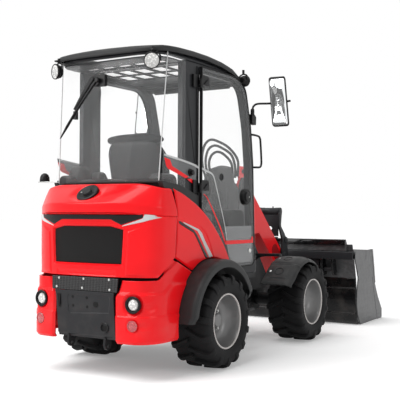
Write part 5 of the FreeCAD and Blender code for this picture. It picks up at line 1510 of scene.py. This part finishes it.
hook_line = [(2.500, .830), (2.530, .826), (2.528, .700), (2.600, .600), (2.600, .500), (2.520, .500), (2.488, .560),
             (2.470, .660), (2.500, .740)]
hooks = both(merged(*(slab(rounded(hook_line, .014, 5), y, y + .020) for y in (.330, .440))))
piece("bucket_hooks", hooks, black_gloss, "coupler_body", "cast_steel", bevel=0.002)
hook_bars = both(rod((2.540, .335, .560), (0, 1, 0), .022, 0, .120))
piece("bucket_hook_bars", hook_bars, charcoal, "coupler_body", "cast_steel")


# ---------------------------------------------------------------------------- finishes on the frame's own parts
dress(red, "lift_arm")
dress(charcoal, "rear_chassis", "front_frame", "cab_steps", "quick_coupler", "tilt_link")
dress(cast, "rear_axle", "front_axle", "engine_block", "tow_eyes")
dress(plastic, "cab_tub", "steering_column", "steering_wheel")
dress(glass, "windscreen")
dress(black_gloss, "lift_cylinder_barrel", "tilt_cylinder_barrel")
dress(chrome, "lift_cylinder_rod", "tilt_cylinder_rod")


# ---------------------------------------------------------------------------- floor, light and camera
ground = bpy.data.meshes.new("floor")
FLOOR = 60.0
ground.from_pydata([(x * FLOOR, y * FLOOR, 0) for x, y in ((-1, -1), (1, -1), (1, 1), (-1, 1))], [], [(0, 1, 2, 3)])
floor = bpy.data.objects.new("floor", ground)
bpy.context.scene.collection.objects.link(floor)
pale = Finish("studio_floor", (0.86, 0.86, 0.86), 0.9, {"Specular IOR Level": 0.0, "Emission Color": (1, 1, 1, 1)})
seen = pale.node("LightPath", output="Is Camera Ray") + pale.node("LightPath", output="Is Glossy Ray")
pale.set("Emission Strength", seen * 0.24)
ground.materials.append(pale.material)

world = bpy.data.worlds.new("studio")
bpy.context.scene.world = world
world.use_nodes = True
sky = world.node_tree


def greater(first, second):
    """The larger of two shader values."""
    node = sky.nodes.new("ShaderNodeMath")
    node.operation = "MAXIMUM"
    sky.links.new(first, node.inputs[0])
    sky.links.new(second, node.inputs[1])
    return node.outputs[0]


rays = sky.nodes.new("ShaderNodeLightPath").outputs
seen = greater(greater(rays["Is Camera Ray"], rays["Is Transmission Ray"]), rays["Is Glossy Ray"])
level = sky.nodes.new("ShaderNodeMapRange")
level.inputs["To Min"].default_value = 0.38
level.inputs["To Max"].default_value = 1.0
sky.links.new(seen, level.inputs["Value"])
sky.nodes["Background"].inputs["Color"].default_value = (1, 1, 1, 1)
sky.links.new(level.outputs[0], sky.nodes["Background"].inputs["Strength"])


def light(name, kind, power, place, back, **settings):
    """Light at a place that shines against the direction back."""
    data = bpy.data.lights.new(name, kind)
    data.energy = power
    for key, value in settings.items():
        setattr(data, key, value)
    lamp = bpy.data.objects.new(name, data)
    lamp.location, lamp.rotation_euler = place, Vector(back).to_track_quat("Z", "Y").to_euler()
    bpy.context.scene.collection.objects.link(lamp)


def softbox(name, power, place, target, width, height):
    light(name, "AREA", power, place, np.subtract(place, target), shape="RECTANGLE", size=width, size_y=height)


around, height = math.radians(155), math.radians(62)
sun_back = (math.cos(around) * math.cos(height), math.sin(around) * math.cos(height), math.sin(height))
light("overhead", "SUN", 2.1, (0, 0, 0), sun_back, angle=math.radians(40))
softbox("left_box", 110, (-5.5, 2.5, 3.2), (-1.5, 0, 1.0), 2.5, 2.5)
softbox("right_box", 60, (-2.0, -6.0, 3.0), (-0.6, 0, 0.9), 3.0, 2.5)

camera_data = bpy.data.cameras.new("camera")
camera_data.lens, camera_data.sensor_width = 71.77, 36.0
camera = bpy.data.objects.new("camera", camera_data)
camera.location = REAR + (-5.018, -3.512, 1.125)
yaw, pitch, roll = math.radians(31.59), math.radians(0.916), 0.00367
turn = Euler((math.pi / 2 + pitch, 0, yaw - math.pi / 2)).to_matrix() @ Euler((0, 0, roll)).to_matrix()
camera.rotation_euler = turn.to_euler()
bpy.context.scene.collection.objects.link(camera)
bpy.context.scene.camera = camera
bpy.context.scene.view_settings.view_transform = "Standard"
